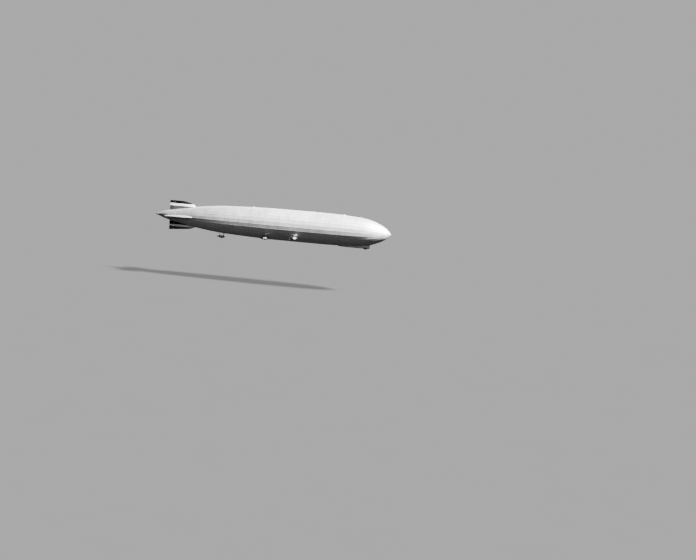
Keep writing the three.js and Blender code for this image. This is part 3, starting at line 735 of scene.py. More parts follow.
# Painted shade: the cabin's front is darker below its windows, and the tray under the cabin is dark, on a
# cabin of one pale paint
front_cover = sheet_metal("cabin front cover", 0.62, 0.1, 0.3, painted_shade_below=-14.5)
shaded_tray_cover = sheet_metal("tray cover", 0.14, 0.1, 0.3)
trim_metal = sheet_metal("trim metal", 0.34, 0.6, 0.9)
bright_metal = sheet_metal("bright metal", 0.62, 0.9, 0.6)
iron = dark_iron("dark iron")
radiator = radiator_core()
wood = laminated_wood()
canvas = dusty_canvas()
glass = clear_glass()
boards = cabin_boards("cabin boards", (0.3, 0.25, 0.18, 1), (0.2, 0.16, 0.11, 1))
dark_wood = cabin_boards("dark boards", (0.09, 0.06, 0.04, 1), (0.05, 0.034, 0.02, 1))
# Near black, as painted shade inside the cars' ports, way in and hatch hoods, and in the ridge hoods'
# mouths
opening = dark_iron("dark opening", 0.012)
dial_face = cabin_boards("blank dials", (0.62, 0.6, 0.52, 1), (0.55, 0.53, 0.46, 1))
red_lamp = lamp_glass("port lamp", (0.5, 0.02, 0.02, 1), 0.4)
green_lamp = lamp_glass("starboard lamp", (0.02, 0.4, 0.08, 1), 0.4)
white_lamp = lamp_glass("white lamp", (0.9, 0.88, 0.8, 1), 0.6)

# The looks of the CAD's own nodes: a material, the start of their names, the ends of their names.
CAD_LOOKS = [
    (front_cover, "cabin_", ["front"]),
    (cabin_cover, "cabin_", ["wall_port", "wall_starboard", "stern", "door"]),
    (shaded_tray_cover, "cabin_", ["tray_front", "tray"]),
    (boards, "cabin_", ["partitions_fore", "partitions_rear", "floor"]),
    (glass, "glass_", ["front", "port_fore", "port_rear", "starboard_fore", "starboard_middle",
                       "starboard_rear", "door"]),
    (iron, "engine_", [car_name for car_name, *_ in ENGINE_CARS]),
    (radiator, "radiator_", [car_name for car_name, *_ in ENGINE_CARS]),
]
for material, first, lasts in CAD_LOOKS:
    for last in lasts:
        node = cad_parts[first + last]
        for holder in node.material_slots:
            holder.material = material
        if not node.material_slots:
            node.data.materials.append(material)


# The hull's cover
GORE_STEPS = 6
STEP = BAY / 4
END_ROOM = 0.2  # between a section's end and the next ring of its points
COVER_CREASE = 9.0


def cover_ring(station, inner):
    """One ring of the cover's points, sunk between its girders and its rings."""
    radius = hull_radius(station)
    bay = math.sin(math.pi * ((station - FIRST_RING) / BAY % 1)) ** 2
    ring = []
    for i in range(GIRDERS * GORE_STEPS):
        half_gore = math.sin(math.pi * (i / GORE_STEPS * 2 % 1)) ** 2
        sunk = min(SAG, radius * 0.01) * half_gore * (0.35 + 0.65 * bay)
        ring.append(on_skin(station, i * GORE / GORE_STEPS, max(-SKIN if inner else -sunk, 0.001 - radius)))
    return ring


def section_ends(node):
    """A hull section's front and back stations."""
    low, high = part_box(node)
    return ORIGIN - high.x / METRE, ORIGIN - low.x / METRE


def steps_between(front, back, step):
    """Stations at each whole step from the first ring, with both ends."""
    first = math.ceil((front + END_ROOM - FIRST_RING) / step)
    last = math.floor((back - END_ROOM - FIRST_RING) / step)
    return [front] + [FIRST_RING + k * step for k in range(first, last + 1)] + [back]


for node_name in SECTIONS:
    front, back = section_ends(node_name)
    outer = [cover_ring(station, False) for station in steps_between(front, back, STEP)]
    inner = [cover_ring(station, True) for station in steps_between(front, back, BAY)]
    form = Form()
    form.loft(outer + inner[::-1], round_trip=True)
    form.place("skin_" + node_name, [skin], "skin", replaces=[node_name], crease=COVER_CREASE)

NOSE_BACK = section_ends("nose_cap")[1]
TAIL_FRONT, TAIL_BACK = section_ends("tail_cone")


def end_cap(tip, edge, steps):
    """A closed end of the hull."""
    stations = [lerp(tip, edge, share**2) for share in spread(0, 1, steps)[1:]]
    outer = [cover_ring(station, False) for station in stations]
    inner = [cover_ring(station, True) for station in stations if abs(station - tip) > 3 * SKIN]
    form = Form()
    form.loft(outer + inner[::-1])
    return form


# The nose, with the mooring spindle, its collar and its cone: each row is (station, radius)
SPINDLE_ROWS = [
    (-0.6, 0.0), (-0.6, 0.5), (-0.57, 0.55), (-0.5, 0.55), (-0.47, 0.5), (-0.46, 0.3), (-0.2, 0.3),
    (-0.02, 0.36), (0.02, 0.62), (0.1, 0.7), (0.3, 0.78), (0.45, 0.6), (0.5, 0.0),
]
BATTEN_FRONT, NOSE_RIM = 0.12, NOSE_BACK - 0.1
form = end_cap(0, NOSE_BACK, 14)
form.loft(turned(SPINDLE_ROWS), look=1)
for k in range(GIRDERS):
    stations = [lerp(BATTEN_FRONT, NOSE_RIM, share**1.6) for share in spread(0, 1, 10)]
    way_out = outwards(k * GORE) + AXIS * 0.5
    form.sweep([on_skin(s, k * GORE) for s in stations], rounded(0.07, 0.03, 0.01, 1), 0, way_out)
for station, wide in ((NOSE_RIM, 0.12), (NOSE_BACK * 0.45, 0.07)):
    path = [on_skin(station, k * GORE / 2) for k in range(2 * GIRDERS)]
    form.sweep(path, rounded(0.05, wide, 0.012, 1), 0, AXIS, closed=True)
form.place("nose_skin", [nose_skin, bright_metal], "nose", replaces=["nose_cap"], crease=20.0)

form = end_cap(TAIL_BACK, TAIL_FRONT, 26)
form.place("tail_skin", [skin], "skin", replaces=["tail_cone"], crease=COVER_CREASE)

# Fins, rudders and elevators. In their loops h is a distance from the axis, and side is 1 or -1
CLEAR = 0.06  # between a fin and its flap's nose
FIN_ROOT, FIN_TIP = 8, 14.9  # distances from the axis
# Half the thickness at the flap's nose and where a fin is thickest, at its root and at its tip
NOSE_HALF = (0.52, 0.2)
MIDDLE_HALF = (1.35, 0.4)
THICKEST = 0.38  # as a share of the chord
MOST_OF_CHORD = 0.3  # half the thickness is no more than this share of it
EDGE_HALF, LEAST_HALF = 0.04, 0.004  # the same at the trailing edge, and the least anywhere
FIN_ROUNDING, FLAP_ROUNDING = 0.45, 0.25  # how far down from the tip it is rounded
TIP_RUN = 4  # behind a leading edge's last row, where the edge reaches the tip
ROOT_SUNK = 0.05  # into the hull
FIN_COLUMNS, FIN_ROWS = 64, 28
SPACING = 0.9  # an exponent for how closely the columns and rows lie towards the edges
ROUNDS = 4
RIB_PITCH = 1.3
RIB_SAG = 0.03  # as a share of the thickness
TAPE = (0.09, 0.022, 0.01, 1)  # width, thickness, corner and its steps
FLAP_NOSE_BACK = HINGE + 0.28
FLAP_GAP = 0.1  # from the hull
PLATE_HALF = 0.06  # half a hinge plate's thickness
PLATE_ROOM = 0.12  # from a plate's middle to the nose beside it
PLATE_EYE, PLATE_FOOT = 0.12, 0.09  # half widths of a plate at the pin and at the fin
PLATE_SUNK = 0.3  # into the fin
PIN = 0.056  # its radius
NOSE_STEP = 0.12
HORN_BEHIND, HORN_OUT = 0.36, 0.42  # a horn's end, from the hinge and from the flap
HORN_FEET = (0.3, 0.95)  # behind the hinge
PULLEY_AHEAD, PULLEY_OUT = 2.6, 0.16  # a pulley, from the hinge and from the fin
PULLEY = 0.16  # its radius
FIRST_TAPE_POINT, TAPE_STEP = 0.25, 0.7  # behind the leading edge, and from point to point
FLAP_COLUMNS, FLAP_ROWS = 12, 48


def share_of_span(h):
    return clamp((h - FIN_ROOT) / (FIN_TIP - FIN_ROOT), -0.5, 1)


def nose_half(h):
    """Half a fin's thickness at its flap's nose."""
    return lerp(*NOSE_HALF, share_of_span(h))


def fin_back(h):
    return HINGE - nose_half(h) - CLEAR


def slack_and_tip(h, tip, ribs, reach):
    """What is left of a thickness between the ribs and towards the round tip."""
    near_tip = clamp((h - (tip - reach)) / reach)
    rib = 1 - RIB_SAG * math.sin(math.pi * (h / RIB_PITCH * ribs % 1)) ** 2
    return rib * math.sqrt(max(1 - near_tip**2, 0))


def fine_edge(edge):
    """A leading edge as a smooth line of many rows."""
    return [(station, curve_through(edge, station)) for station in spread(edge[0][0], edge[-1][0], 60)]


def edge_front(edge, h):
    """The leading edge's station at a distance from the axis."""
    return straight_through([(b, a) for a, b in edge], h)


def fin_half(edge, tip, station, h):
    """Half a fin's thickness at a place on it."""
    front = edge_front(edge, h)
    chord = max(fin_back(h) - front, 0.1)
    share = clamp((station - front) / chord)
    most = min(lerp(*MIDDLE_HALF, share_of_span(h)), chord * MOST_OF_CHORD)
    if share < THICKEST:
        half = most * (1 - (1 - share / THICKEST) ** 2) ** 0.5
    else:
        half = lerp(most, min(nose_half(h), most), (share - THICKEST) / (1 - THICKEST))
    return half * slack_and_tip(h, tip, 1, FIN_ROUNDING)


def flap_half(station, h):
    """Half a flap's thickness."""
    return lerp(nose_half(h), EDGE_HALF, clamp((station - HINGE) / (TRAILING - HINGE)))


def soft_half(station, h, tip):
    """The same, a little slack between its ribs and round at its tip."""
    return max(flap_half(station, h) * slack_and_tip(h, tip, 2, FLAP_ROUNDING), LEAST_HALF)


def turn_out(quarters, station, y, h):
    """A fin's point, from the top fin's place to its own."""
    sine, cosine = math.sin(quarters * math.pi / 2), math.cos(quarters * math.pi / 2)
    return at(station, y * cosine + h * sine, h * cosine - y * sine)


def fin_surface(edge, tip, front):
    """Columns of (station, distance) from the hull to the fin's edge, for one side."""
    last_station, last_height = edge[-1]

    def top(station):
        if station < last_station:
            return min(straight_through(edge, station), tip)
        return lerp(last_height, tip, clamp((station - last_station) / TIP_RUN))

    columns = []
    for c in range(FIN_COLUMNS + 1):
        share = (1 - math.cos(math.pi * c / FIN_COLUMNS / 2)) ** SPACING
        column = []
        for r in range(FIN_ROWS + 1):
            up = math.sin(math.pi / 2 * r / FIN_ROWS) ** SPACING
            h = lerp(FIN_ROOT, tip, up)
            # The station and the distance depend on each other, so each is found from the other in rounds
            for _ in range(ROUNDS):
                station = lerp(front, fin_back(h), share)
                root = hull_radius(station) * math.cos(GORE / 2) - ROOT_SUNK
                h = lerp(root, max(top(station), root), up)
            column.append((station, h))
        columns.append(column)
    return columns


def root_front(edge):
    """The station where a leading edge leaves the hull."""
    station = edge[0][0]
    while straight_through(edge, station) < hull_radius(station):
        station += 0.05
    return station


def fin_cover(quarters, rough_edge, tip, plates):
    """A fin, up one side and down the other, with its hinge plates."""
    edge = fine_edge(rough_edge)
    form = Form()
    sides = [[[turn_out(quarters, s, side * fin_half(edge, tip, s, h), h) for s, h in column]
              for column in fin_surface(edge, tip, root_front(edge))] for side in (1, -1)]
    form.loft([left + right[::-1] for left, right in zip(*sides)])
    for h in plates:
        eye = [(HINGE + PLATE_EYE * math.sin(a), PLATE_EYE * math.cos(a)) for a in spread(0, math.pi, 10)]
        foot = fin_back(h) - PLATE_SUNK
        outline = [(foot, PLATE_FOOT), *eye, (foot, -PLATE_FOOT)]
        form.loft([[turn_out(quarters, s, y, level) for s, y in outline]
                   for level in (h - PLATE_HALF, h + PLATE_HALF)], look=1)
    return form


def flap_cover(quarters, tip, back_tip, plates):
    """A tapered flap, with a round nose about the hinge between the plates, and its pins."""
    form = Form()
    rings = []
    for s in spread(FLAP_NOSE_BACK, TRAILING, FLAP_COLUMNS):
        top = lerp(tip, back_tip, (s - HINGE) / (TRAILING - HINGE))
        heights = spread(hull_radius(s) + FLAP_GAP, top, FLAP_ROWS)
        left, right = [[turn_out(quarters, s, side * soft_half(s, h, top), h) for h in heights]
                       for side in (1, -1)]
        rings.append(left + right[::-1])
    form.loft(rings)
    lows = [hull_radius(HINGE - NOSE_HALF[0]) + FLAP_GAP] + [h + PLATE_ROOM for h in plates]
    highs = [h - PLATE_ROOM for h in plates] + [tip]
    for low, high in zip(lows, highs):
        rings = []
        for h in spread(low, high, max(int((high - low) / NOSE_STEP), 2)):
            half, back = soft_half(HINGE, h, tip), soft_half(FLAP_NOSE_BACK, h, tip)
            nose = [(HINGE - nose_half(h) * math.cos(a), half * math.sin(a))
                    for a in spread(-math.pi / 2, math.pi / 2, 12)]
            outline = [(FLAP_NOSE_BACK + 0.01, -back), *nose, (FLAP_NOSE_BACK + 0.01, back)]
            rings.append([turn_out(quarters, s, y, h) for s, y in outline])
        form.loft(rings)
    for h in plates:
        form.loft([[turn_out(quarters, HINGE + a, b, level) for a, b in circle(PIN, PIN, 12)]
                   for level in (h - PLATE_ROOM - 0.02, h + PLATE_ROOM + 0.02)], 1)
    return form


def tapes_and_horns(quarters, rough_edge, tip, plates):
    """Tapes over the ribs of a fin and its flap, the flap's horns, and the pulleys that lead to them."""
    edge = fine_edge(rough_edge)
    tapes, flap_tapes = Form(), Form()
    origin = turn_out(quarters, 0, 0, 0)
    upwards = turn_out(quarters, 0, 0, 1) - origin
    level = (plates[0] + plates[1]) / 2
    for side in (1, -1):
        aside = turn_out(quarters, 0, side, 0) - origin

        def on_fin(s, h, out=0.0):
            return turn_out(quarters, s, side * (fin_half(edge, tip, s, h) + out), h)

        def on_flap(s, h, out=0.0):
            return turn_out(quarters, s, side * (flap_half(s, h) + out), h)

        h = math.ceil(hull_radius(205) / RIB_PITCH) * RIB_PITCH
        while h < tip - 0.5:
            if h > hull_radius(208):
                stations = [edge_front(edge, h) + FIRST_TAPE_POINT + TAPE_STEP * k for k in range(40)]
                stations = [s for s in stations if s < HINGE - 0.95 and hull_radius(s) < h - 0.15]
                if len(stations) > 3:
                    tapes.sweep([on_fin(s, h) for s in stations], rounded(*TAPE), 0, aside)
            if min(abs(h - plate) for plate in plates) > 0.25:
                path = [on_flap(s, h) for s in (HINGE + 0.15, TRAILING - 0.05)]
                flap_tapes.sweep(path, rounded(*TAPE), 0, aside)
            h += RIB_PITCH / 2
        horn_out = flap_half(HINGE, level) + HORN_OUT
        head = turn_out(quarters, HINGE + HORN_BEHIND, side * horn_out, level)
        feet = [on_flap(HINGE + behind, level, -0.03) for behind in HORN_FEET]
        flap_tapes.slab([*feet, head], upwards * 0.05, 1)
        flap_tapes.disc(head - upwards * 0.02, upwards, 0.06, 0.09, 1, 12)
        wheel = on_fin(HINGE - PULLEY_AHEAD, level, PULLEY_OUT)
        tapes.disc(wheel - upwards * 0.05, upwards, PULLEY, 0.1, 1, 20)
        tapes.ring(wheel, upwards, PULLEY + 0.01, 0.035, 1, 20)
        for shift in (-0.1, 0.1):
            foot = wheel - aside * 0.2 + upwards * shift
            tapes.slab([foot - AXIS * 0.22, foot + AXIS * 0.22, foot + AXIS * 0.06 + aside * 0.26,
                        foot - AXIS * 0.06 + aside * 0.26], upwards * 0.03, 1)
    return tapes, flap_tapes


def fin_look(quarters):
    """The materials and the slot of a fin and its flap. The upright ones are striped."""
    if quarters % 2:
        return [fin_plain, iron], "fin_plain"
    return [fin_striped, iron], "fin_striped"


for node_name, quarters, rough_edge, tip, _, plates, _ in FINS:
    form = fin_cover(quarters, rough_edge, tip, plates)
    form.place("cover_" + node_name, *fin_look(quarters), replaces=[node_name], crease=40.0)
for _, quarters, _, tip, back_tip, plates, flap in FINS:
    form = flap_cover(quarters, tip, back_tip, plates)
    form.place("cover_" + flap, *fin_look(quarters), body=flap, replaces=[flap], crease=50.0)
for node_name, quarters, rough_edge, tip, _, plates, flap in FINS:
    tapes, flap_tapes = tapes_and_horns(quarters, rough_edge, tip, plates)
    tapes.place("tapes_" + node_name, *fin_look(quarters))
    flap_tapes.place("tapes_" + flap, *fin_look(quarters), body=flap)


# Engine cars. A paint is the number of one of the car's materials
SHEET, BRIGHT_METAL, HOLE, CAR_IRON, STRUT, HOOD = range(6)
CAR_SEAMS = (2.75, 1.7, 0.6, -0.55, -1.7, -2.6)
CAR_FRONT, CAR_BACK = 3.56, -3.46
CAR_ROWS = 36
RIVETS = 40
PORTS, STUBS = (2.25, 1.15), (1.4, 0.1, -1.1)
LOUVRES, FIRST_LOUVRE, LOUVRE_STEP = 7, 0.32, 0.11
SIDE_ANGLES = (74, 72, 112)  # of the ports, the louvres and the stubs, in degrees from the top
PORT_SIZE = 0.2  # its radius
STRUT_AHEAD = (2, -1.6)
STRUT_SPREAD = 1.25  # how much further apart the feet are than the heads
STRUT_TURN = math.radians(9)  # either way from the line to the hull
STRUT_IN, STRUT_ASIDE = 0.9, 0.62  # a strut's head, from the car's middle
EXHAUST = ((0, 0), (0.16, 0), (0.24, 0.1), (0.26, 0.34))  # distances out of the shell and back
WIRES = ((0, 1), (1, 0), (2, 3), (3, 2), (0, 2), (2, 0), (1, 3), (3, 1))  # from a strut's foot to a head
RUNG_PITCH = 0.32
LADDER_HALF, HANDRAIL_ASIDE = 0.22, 0.42  # from the ladder's middle
LADDER_FOOT, WAY_IN = 2.3, 2.05  # ahead of the car's middle


def car_point(middle, ahead, angle, out=0.0):
    """A point on a car's shell, at an angle from its top towards port."""
    radius = curve_through(CAR_OUTLINE, ahead)
    return middle + Vector((ahead, (radius * CAR_WIDE + out) * math.sin(angle),
                            (radius * CAR_TALL + out) * math.cos(angle)))


def car_ring(middle, ahead, out=0.0, sides=36):
    return [car_point(middle, ahead, angle, out) for angle in turns(sides)]


def car_shell(car, middle, first_row, last_row):
    """The shell in its two paints, the near-black one a painted shade, with its lips, seams, rivets and
    four long strips.
    """
    stations = spread(CAR_FRONT, CAR_BACK, CAR_ROWS)
    cowl_edge, tail_edge = stations[first_row], stations[last_row]
    outer = [car_ring(middle, ahead) for ahead in stations]
    inner = [car_ring(middle, ahead, -0.06) for ahead in stations[::4]]
    car.loft(inner[:1] + outer[:first_row + 1], STRUT, caps=(False, False))
    car.loft(outer[first_row:last_row + 1], SHEET, caps=(False, False))
    car.loft(outer[last_row:] + inner[::-1], STRUT, caps=(False, False))
    car.sweep(car_ring(middle, CAR_FRONT, -0.03), circle(0.055, 0.05, 10), STRUT, AXIS, closed=True)
    car.sweep(car_ring(middle, CAR_BACK, -0.03, 24), circle(0.035, 0.04, 8), CAR_IRON, AXIS, closed=True)
    for ahead in CAR_SEAMS:
        paint = SHEET if tail_edge < ahead < cowl_edge else STRUT
        car.sweep(car_ring(middle, ahead, 0.004), rounded(0.03, 0.09, 0.01, 1), paint, AXIS, closed=True)
        for angle in turns(RIVETS, 0.5):
            for shift in (-0.1, 0.1):
                car.dome(car_point(middle, ahead + shift, angle), outwards(angle), AXIS, 0.02, 0.02, 0.012,
                         paint, 6, 1, 0.01)
    for angle in (0.0, math.pi / 2, math.pi, -math.pi / 2):
        for first, last, paint in ((3.4, cowl_edge, STRUT), (cowl_edge, tail_edge, SHEET),
                                   (tail_edge, -3.3, STRUT)):
            path = [car_point(middle, ahead, angle, 0.005) for ahead in spread(first, last, 10)]
            car.sweep(path, rounded(0.08, 0.03, 0.01, 1), paint, outwards(angle))


def car_side(car, middle, way, sideways):
    """Two round ports, cooling louvres and three exhaust stubs on one side."""
    port_angle, louvre_angle, stub_angle = [way * math.radians(degrees) for degrees in SIDE_ANGLES]
    out = outwards(port_angle)
    for ahead in PORTS:
        spot = car_point(middle, ahead, port_angle, -0.02)
        # The port: a near-black disc, as painted shade
        car.disc(spot, out, PORT_SIZE, 0.035, HOLE)
        car.ring(spot + out * 0.03, out, PORT_SIZE + 0.01, 0.03, BRIGHT_METAL)
    for k in range(LOUVRES):
        ahead = FIRST_LOUVRE - LOUVRE_STEP * k
        path = [car_point(middle, ahead, louvre_angle + way * turn, 0.012) for turn in (-0.16, 0, 0.16)]
        car.sweep(path, rounded(0.045, 0.07, 0.015, 1), SHEET, AXIS)
    out = outwards(stub_angle)
    for ahead in STUBS:
        root = car_point(middle, ahead, stub_angle, -0.05)
        path = [root + out * rise - AXIS * back for rise, back in EXHAUST]
        car.tube(path, 0.055, CAR_IRON, 10, sideways)
        car.ring(root + out * 0.06, out, 0.08, 0.02, CAR_IRON, 12)


def car_struts(car, middle, station, side, inwards, sideways):
    """Four struts with their collars, and the wires between them."""
    feet, heads = [], []
    below = math.atan2(-middle.z, abs(middle.y))
    for ahead in STRUT_AHEAD:
        for way in (-1, 1):
            angle = side * (math.pi / 2 + below + way * STRUT_TURN)
            foot = on_skin(station - ahead * STRUT_SPREAD, angle, -0.02)
            head = middle + AXIS * ahead + inwards * STRUT_IN - sideways * way * STRUT_ASIDE
            run = (head - foot).normalized()
            for path, wide, deep in (([foot, head], 0.04, 0.1), ([foot, foot + run * 0.16], 0.07, 0.14),
                                     ([head - run * 0.3, head], 0.06, 0.13)):
                car.sweep(path, circle(wide, deep, 14), STRUT, AXIS)
            feet.append(foot)
            heads.append(head - run * 0.12)
    for foot, head in WIRES:
        car.tube([feet[foot], heads[head]], 0.014, STRUT, 5)


def car_ladder(car, middle, top, hatch, sideways):
    """The way in, the ladder up to the hatch with its handrail, and the hood over the hatch."""
    inwards = outwards(top)
    spot = car_point(middle, WAY_IN, top, -0.03)
    car.dome(spot, inwards, AXIS, 0.5, 0.36, 0.1, BRIGHT_METAL, 24, 3)
    # A near-black dome in it, as painted shade
    car.dome(spot + inwards * 0.05, inwards, AXIS, 0.4, 0.27, 0.08, HOLE, 24, 2)
    foot = car_point(middle, LADDER_FOOT, top, -0.02)
    for way in (-1, 1):
        shift = sideways * way * LADDER_HALF
        car.tube([hatch + shift, foot + shift], 0.04, STRUT, 8)
    length = (foot - hatch).length
    for k in range(1, int(length / RUNG_PITCH) + 1):
        spot = hatch.lerp(foot, (k - 0.3) * RUNG_PITCH / length)
        car.tube([spot - sideways * LADDER_HALF, spot + sideways * LADDER_HALF], 0.022, STRUT, 6, AXIS)
    handrail = [hatch + sideways * HANDRAIL_ASIDE, foot + sideways * HANDRAIL_ASIDE * 0.7]
    car.tube(handrail, 0.016, STRUT, 5)
    out = Vector((0, hatch.y, hatch.z)).normalized()
    car.dome(hatch, out, AXIS, 0.95, 0.55, 0.7, HOOD, 28, 8, 0.15)
    car.dome(hatch, out, AXIS, 1.08, 0.66, 0.05, HOOD, 28, 2, 0.1)
    # The hood's mouth: a near-black dome, as painted shade
    car.dome(hatch + out * 0.05 - AXIS * 0.62, out, AXIS, 0.26, 0.3, 0.26, HOLE, 20, 5)


for name, station, y, z, hatch_station, hatch_below, (first_row, last_row) in ENGINE_CARS:
    middle = at(station, y, z)
    side = -1 if y < 0 else 1
    inwards = Vector((0, -y, -z)).normalized()
    sideways = AXIS.cross(inwards) * side
    car = Form()
    car_shell(car, middle, first_row, last_row)
    for way in (1, -1):
        car_side(car, middle, way, sideways)
    car_struts(car, middle, station, side, inwards, sideways)
    hatch = on_skin(hatch_station, side * (math.pi / 2 + math.radians(hatch_below)))
    car_ladder(car, middle, math.atan2(inwards.y, inwards.z), hatch, sideways)
    car.place("cover_car_" + name, [car_metal, bright_metal, opening, iron, painted_shade_metal, hood_metal], "car",
              replaces=["car_" + name])

# Propellers. The hub: each row is (distance behind its front, radius)
HUB = [(0, 0), (0, 0.17), (0.015, 0.2), (0.06, 0.2), (0.07, 0.185), (0.2, 0.185), (0.21, 0.2), (0.25, 0.2),
       (0.27, 0.17), (0.33, 0.155), (0.38, 0.12), (0.41, 0.06), (0.42, 0)]
HUB_BEHIND = 3.783  # the car's middle
BLADE_PLANE = 0.15  # behind the hub's front
BLADE_STEPS = 20
TIP_STEP = 15
BOLTS = 8


def blade_ring(out):
    """A blade's section at a distance from the shaft, before it is turned into place."""
    chord, thick, pitch = [curve_through([(row[0], row[i]) for row in BLADE], out) for i in (1, 2, 3)]
    turn = Matrix.Rotation(math.radians(90 - pitch), 3, "Z")
    ring = []
    for a in turns(20):
        hollow = thick * 0.12 * math.cos(a) ** 2
        ring.append(turn @ Vector((thick / 2 * math.sin(a) * (1 + 0.35 * math.cos(a)) + hollow,
                                   chord / 2 * math.cos(a), 0)) + UP * out)
    return ring


for name, station, y, z, *_ in ENGINE_CARS:
    form = Form()
    hub = station + HUB_BEHIND
    form.loft(turned([(hub + behind, radius) for behind, radius in HUB], 32, y, z), 1)
    for a in turns(BOLTS, 0.5):
        form.dome(at(hub + 0.26, y, z) + outwards(a) * 0.15, -AXIS, UP, 0.02, 0.02, 0.03, 1, 6, 1, 0.03)
    for i in range(4):
        turn = Matrix.Rotation(math.radians(45 + 90 * i), 3, "X")
        rings = [[at(hub + BLADE_PLANE, y, z) + turn @ p for p in blade_ring(out)]
                 for out in spread(BLADE[0][0], BLADE[-1][0], BLADE_STEPS)]
        form.loft(rings[:TIP_STEP + 1], 0, caps=(True, False))
        form.loft(rings[TIP_STEP:], 2, caps=(False, True))
    form.place("cover_propeller_" + name, [wood, iron, blade_tip], "propeller_wood",
               body="propeller_" + name, replaces=["propeller_" + name])

# Landing bumpers
BUMPER_AROUND, BUMPER_ALONG = 48, 40
BUMPER_ROOM = 0.006  # below what is above it
SEAM_DEPTH = 0.035  # how far a pad is drawn in a third of the way from each end, as a share
STRAPS = (0.3, 0.5, 0.7)  # places along a pad
STRAP_TURNS = (0.42, 1.58)  # where a strap begins and ends, in half turns from the top
BUCKLE = 6  # its place among the points of a strap
CABIN_UNDERSIDE = -15.506


def bumper(name, station, lowest, long, wide, high, ceiling):
    """A strapped canvas pad, pressed against what is above it."""
    middle = lowest + high

    def point(share, a, out=0.0):
        u = math.pi * share
        squeeze = 1 - SEAM_DEPTH * max(math.cos(6 * u), 0) ** 6
        ahead = -(long + out) * math.cos(u)
        y = (wide * squeeze + out) * math.sin(u) * math.sin(a)
        z = middle + (high * squeeze + out) * math.sin(u) * math.cos(a)
        return at(station - ahead, y, min(z, ceiling(ahead, y)))

    form = Form()
    shares = [0.004] + spread(0, 1, BUMPER_ALONG)[1:-1] + [0.996]
    form.loft([[point(share, a) for a in turns(BUMPER_AROUND)] for share in shares])
    pad = form.place("cover_" + name, [canvas], "bumper", replaces=[name], crease=50)
    straps = Form()
    for share in STRAPS:
        path = [point(share, math.pi * turn, 0.006) for turn in spread(*STRAP_TURNS, 24)]
        straps.sweep(path, rounded(0.02, 0.12, 0.008, 1), 0, AXIS)
        buckle = path[BUCKLE]
        out = (buckle - at(station, 0, middle)).normalized()
        straps.disc(buckle - out * 0.02, out, 0.05, 0.05, 1, 10)
    straps.place("straps_" + name, [canvas, trim_metal], "bumper")


def under_stern_car(ahead, y):
    """The stern car's underside, above its bumper."""
    _, _, _, car_z, *_ = ENGINE_CARS[4]
    radius = curve_through(CAR_OUTLINE, ahead + 0.5)
    return car_z - radius * CAR_TALL * math.sqrt(max(1 - (y / (radius * CAR_WIDE)) ** 2, 0)) - BUMPER_ROOM


bumper("bumper_bow", 23.3, -16.5, 1.7, 0.85, 0.62, lambda ahead, y: CABIN_UNDERSIDE)
bumper("bumper_stern", 167.5, -18.45, 1.5, 0.62, 0.5, under_stern_car)


# The cabin's trim. Each rail along its walls: height, width, depth, back end
# TRAY is the tray's dark paint, a painted shade under the cabin and on its low front rails
COVER, METAL, TRAY = range(3)
RAILS = [(-14.97, 0.12, 0.06, 48.6), (-13.05, 0.07, 0.05, 36), (-15.06, 0.05, 0.04, 48.6)]
RAIL_FRONT = [24.2, 28.05]
RAIL_BACK = [29.25, 32, 36, 40, 41.6, 43.2, 44.7, 46.2, 47.4, 48.6]
# Each rail round its front: height, width, depth, paint
FRONT_RAILS = [(-14.97, 0.12, 0.06, TRAY), (-14.62, 0.05, 0.05, TRAY), (-12.85, 0.07, 0.05, COVER)]
STRIPS = (24.5, 27.8, 30.2, 33.15, 36.2, 38.55, 40.45, 42.3)  # over the frames of the walls
SIDE_FRAME, FRONT_FRAME, DOOR_FRAME = (0.09, 0.06), (0.08, 0.06), (0.07, 0.05)  # width, depth
PANEL_FRAME, DOOR_WINDOW_FRAME = (0.05, 0.03), (0.06, 0.04)
SILL_LAP, SILL_DROP = 0.08, 0.06  # a window's sill, beyond it and below it
HANDRAILS = ((24.7, 27.6), (30.6, 35.6), (36.8, 42))
HANDRAIL_HEIGHT = -15.12
FRONT_MIDDLE = (22.2, 0, 0)
TRAY_SEAMS = (27.3, 30.2, 33.2, 36.2, 39.2, 42.2)
TRAY_EDGE = [(0.01, -15.0), (-0.15, -15.305), (-0.5, -15.505)]  # beyond the half width, height
RUBBING_STRIPS = (-1.1, 0, 1.1)
STEP_MIDDLE, STEP_HEIGHT = -3.12, -15.22


def half_width(station):
    return straight_through(CABIN_PLAN, station)


def wall_point(station, z, side, out=0.0):
    return at(station, side * (half_width(station) + out), z)


def wall_corners(front, back, sill, lintel, side, out, grow=0.0):
    """An opening's corners on a wall, grown or shrunk."""
    front, back, sill, lintel = front - grow, back + grow, sill - grow, lintel + grow
    spots = ((front, sill), (back, sill), (back, lintel), (front, lintel))
    return [wall_point(s, z, side, out) for s, z in spots]


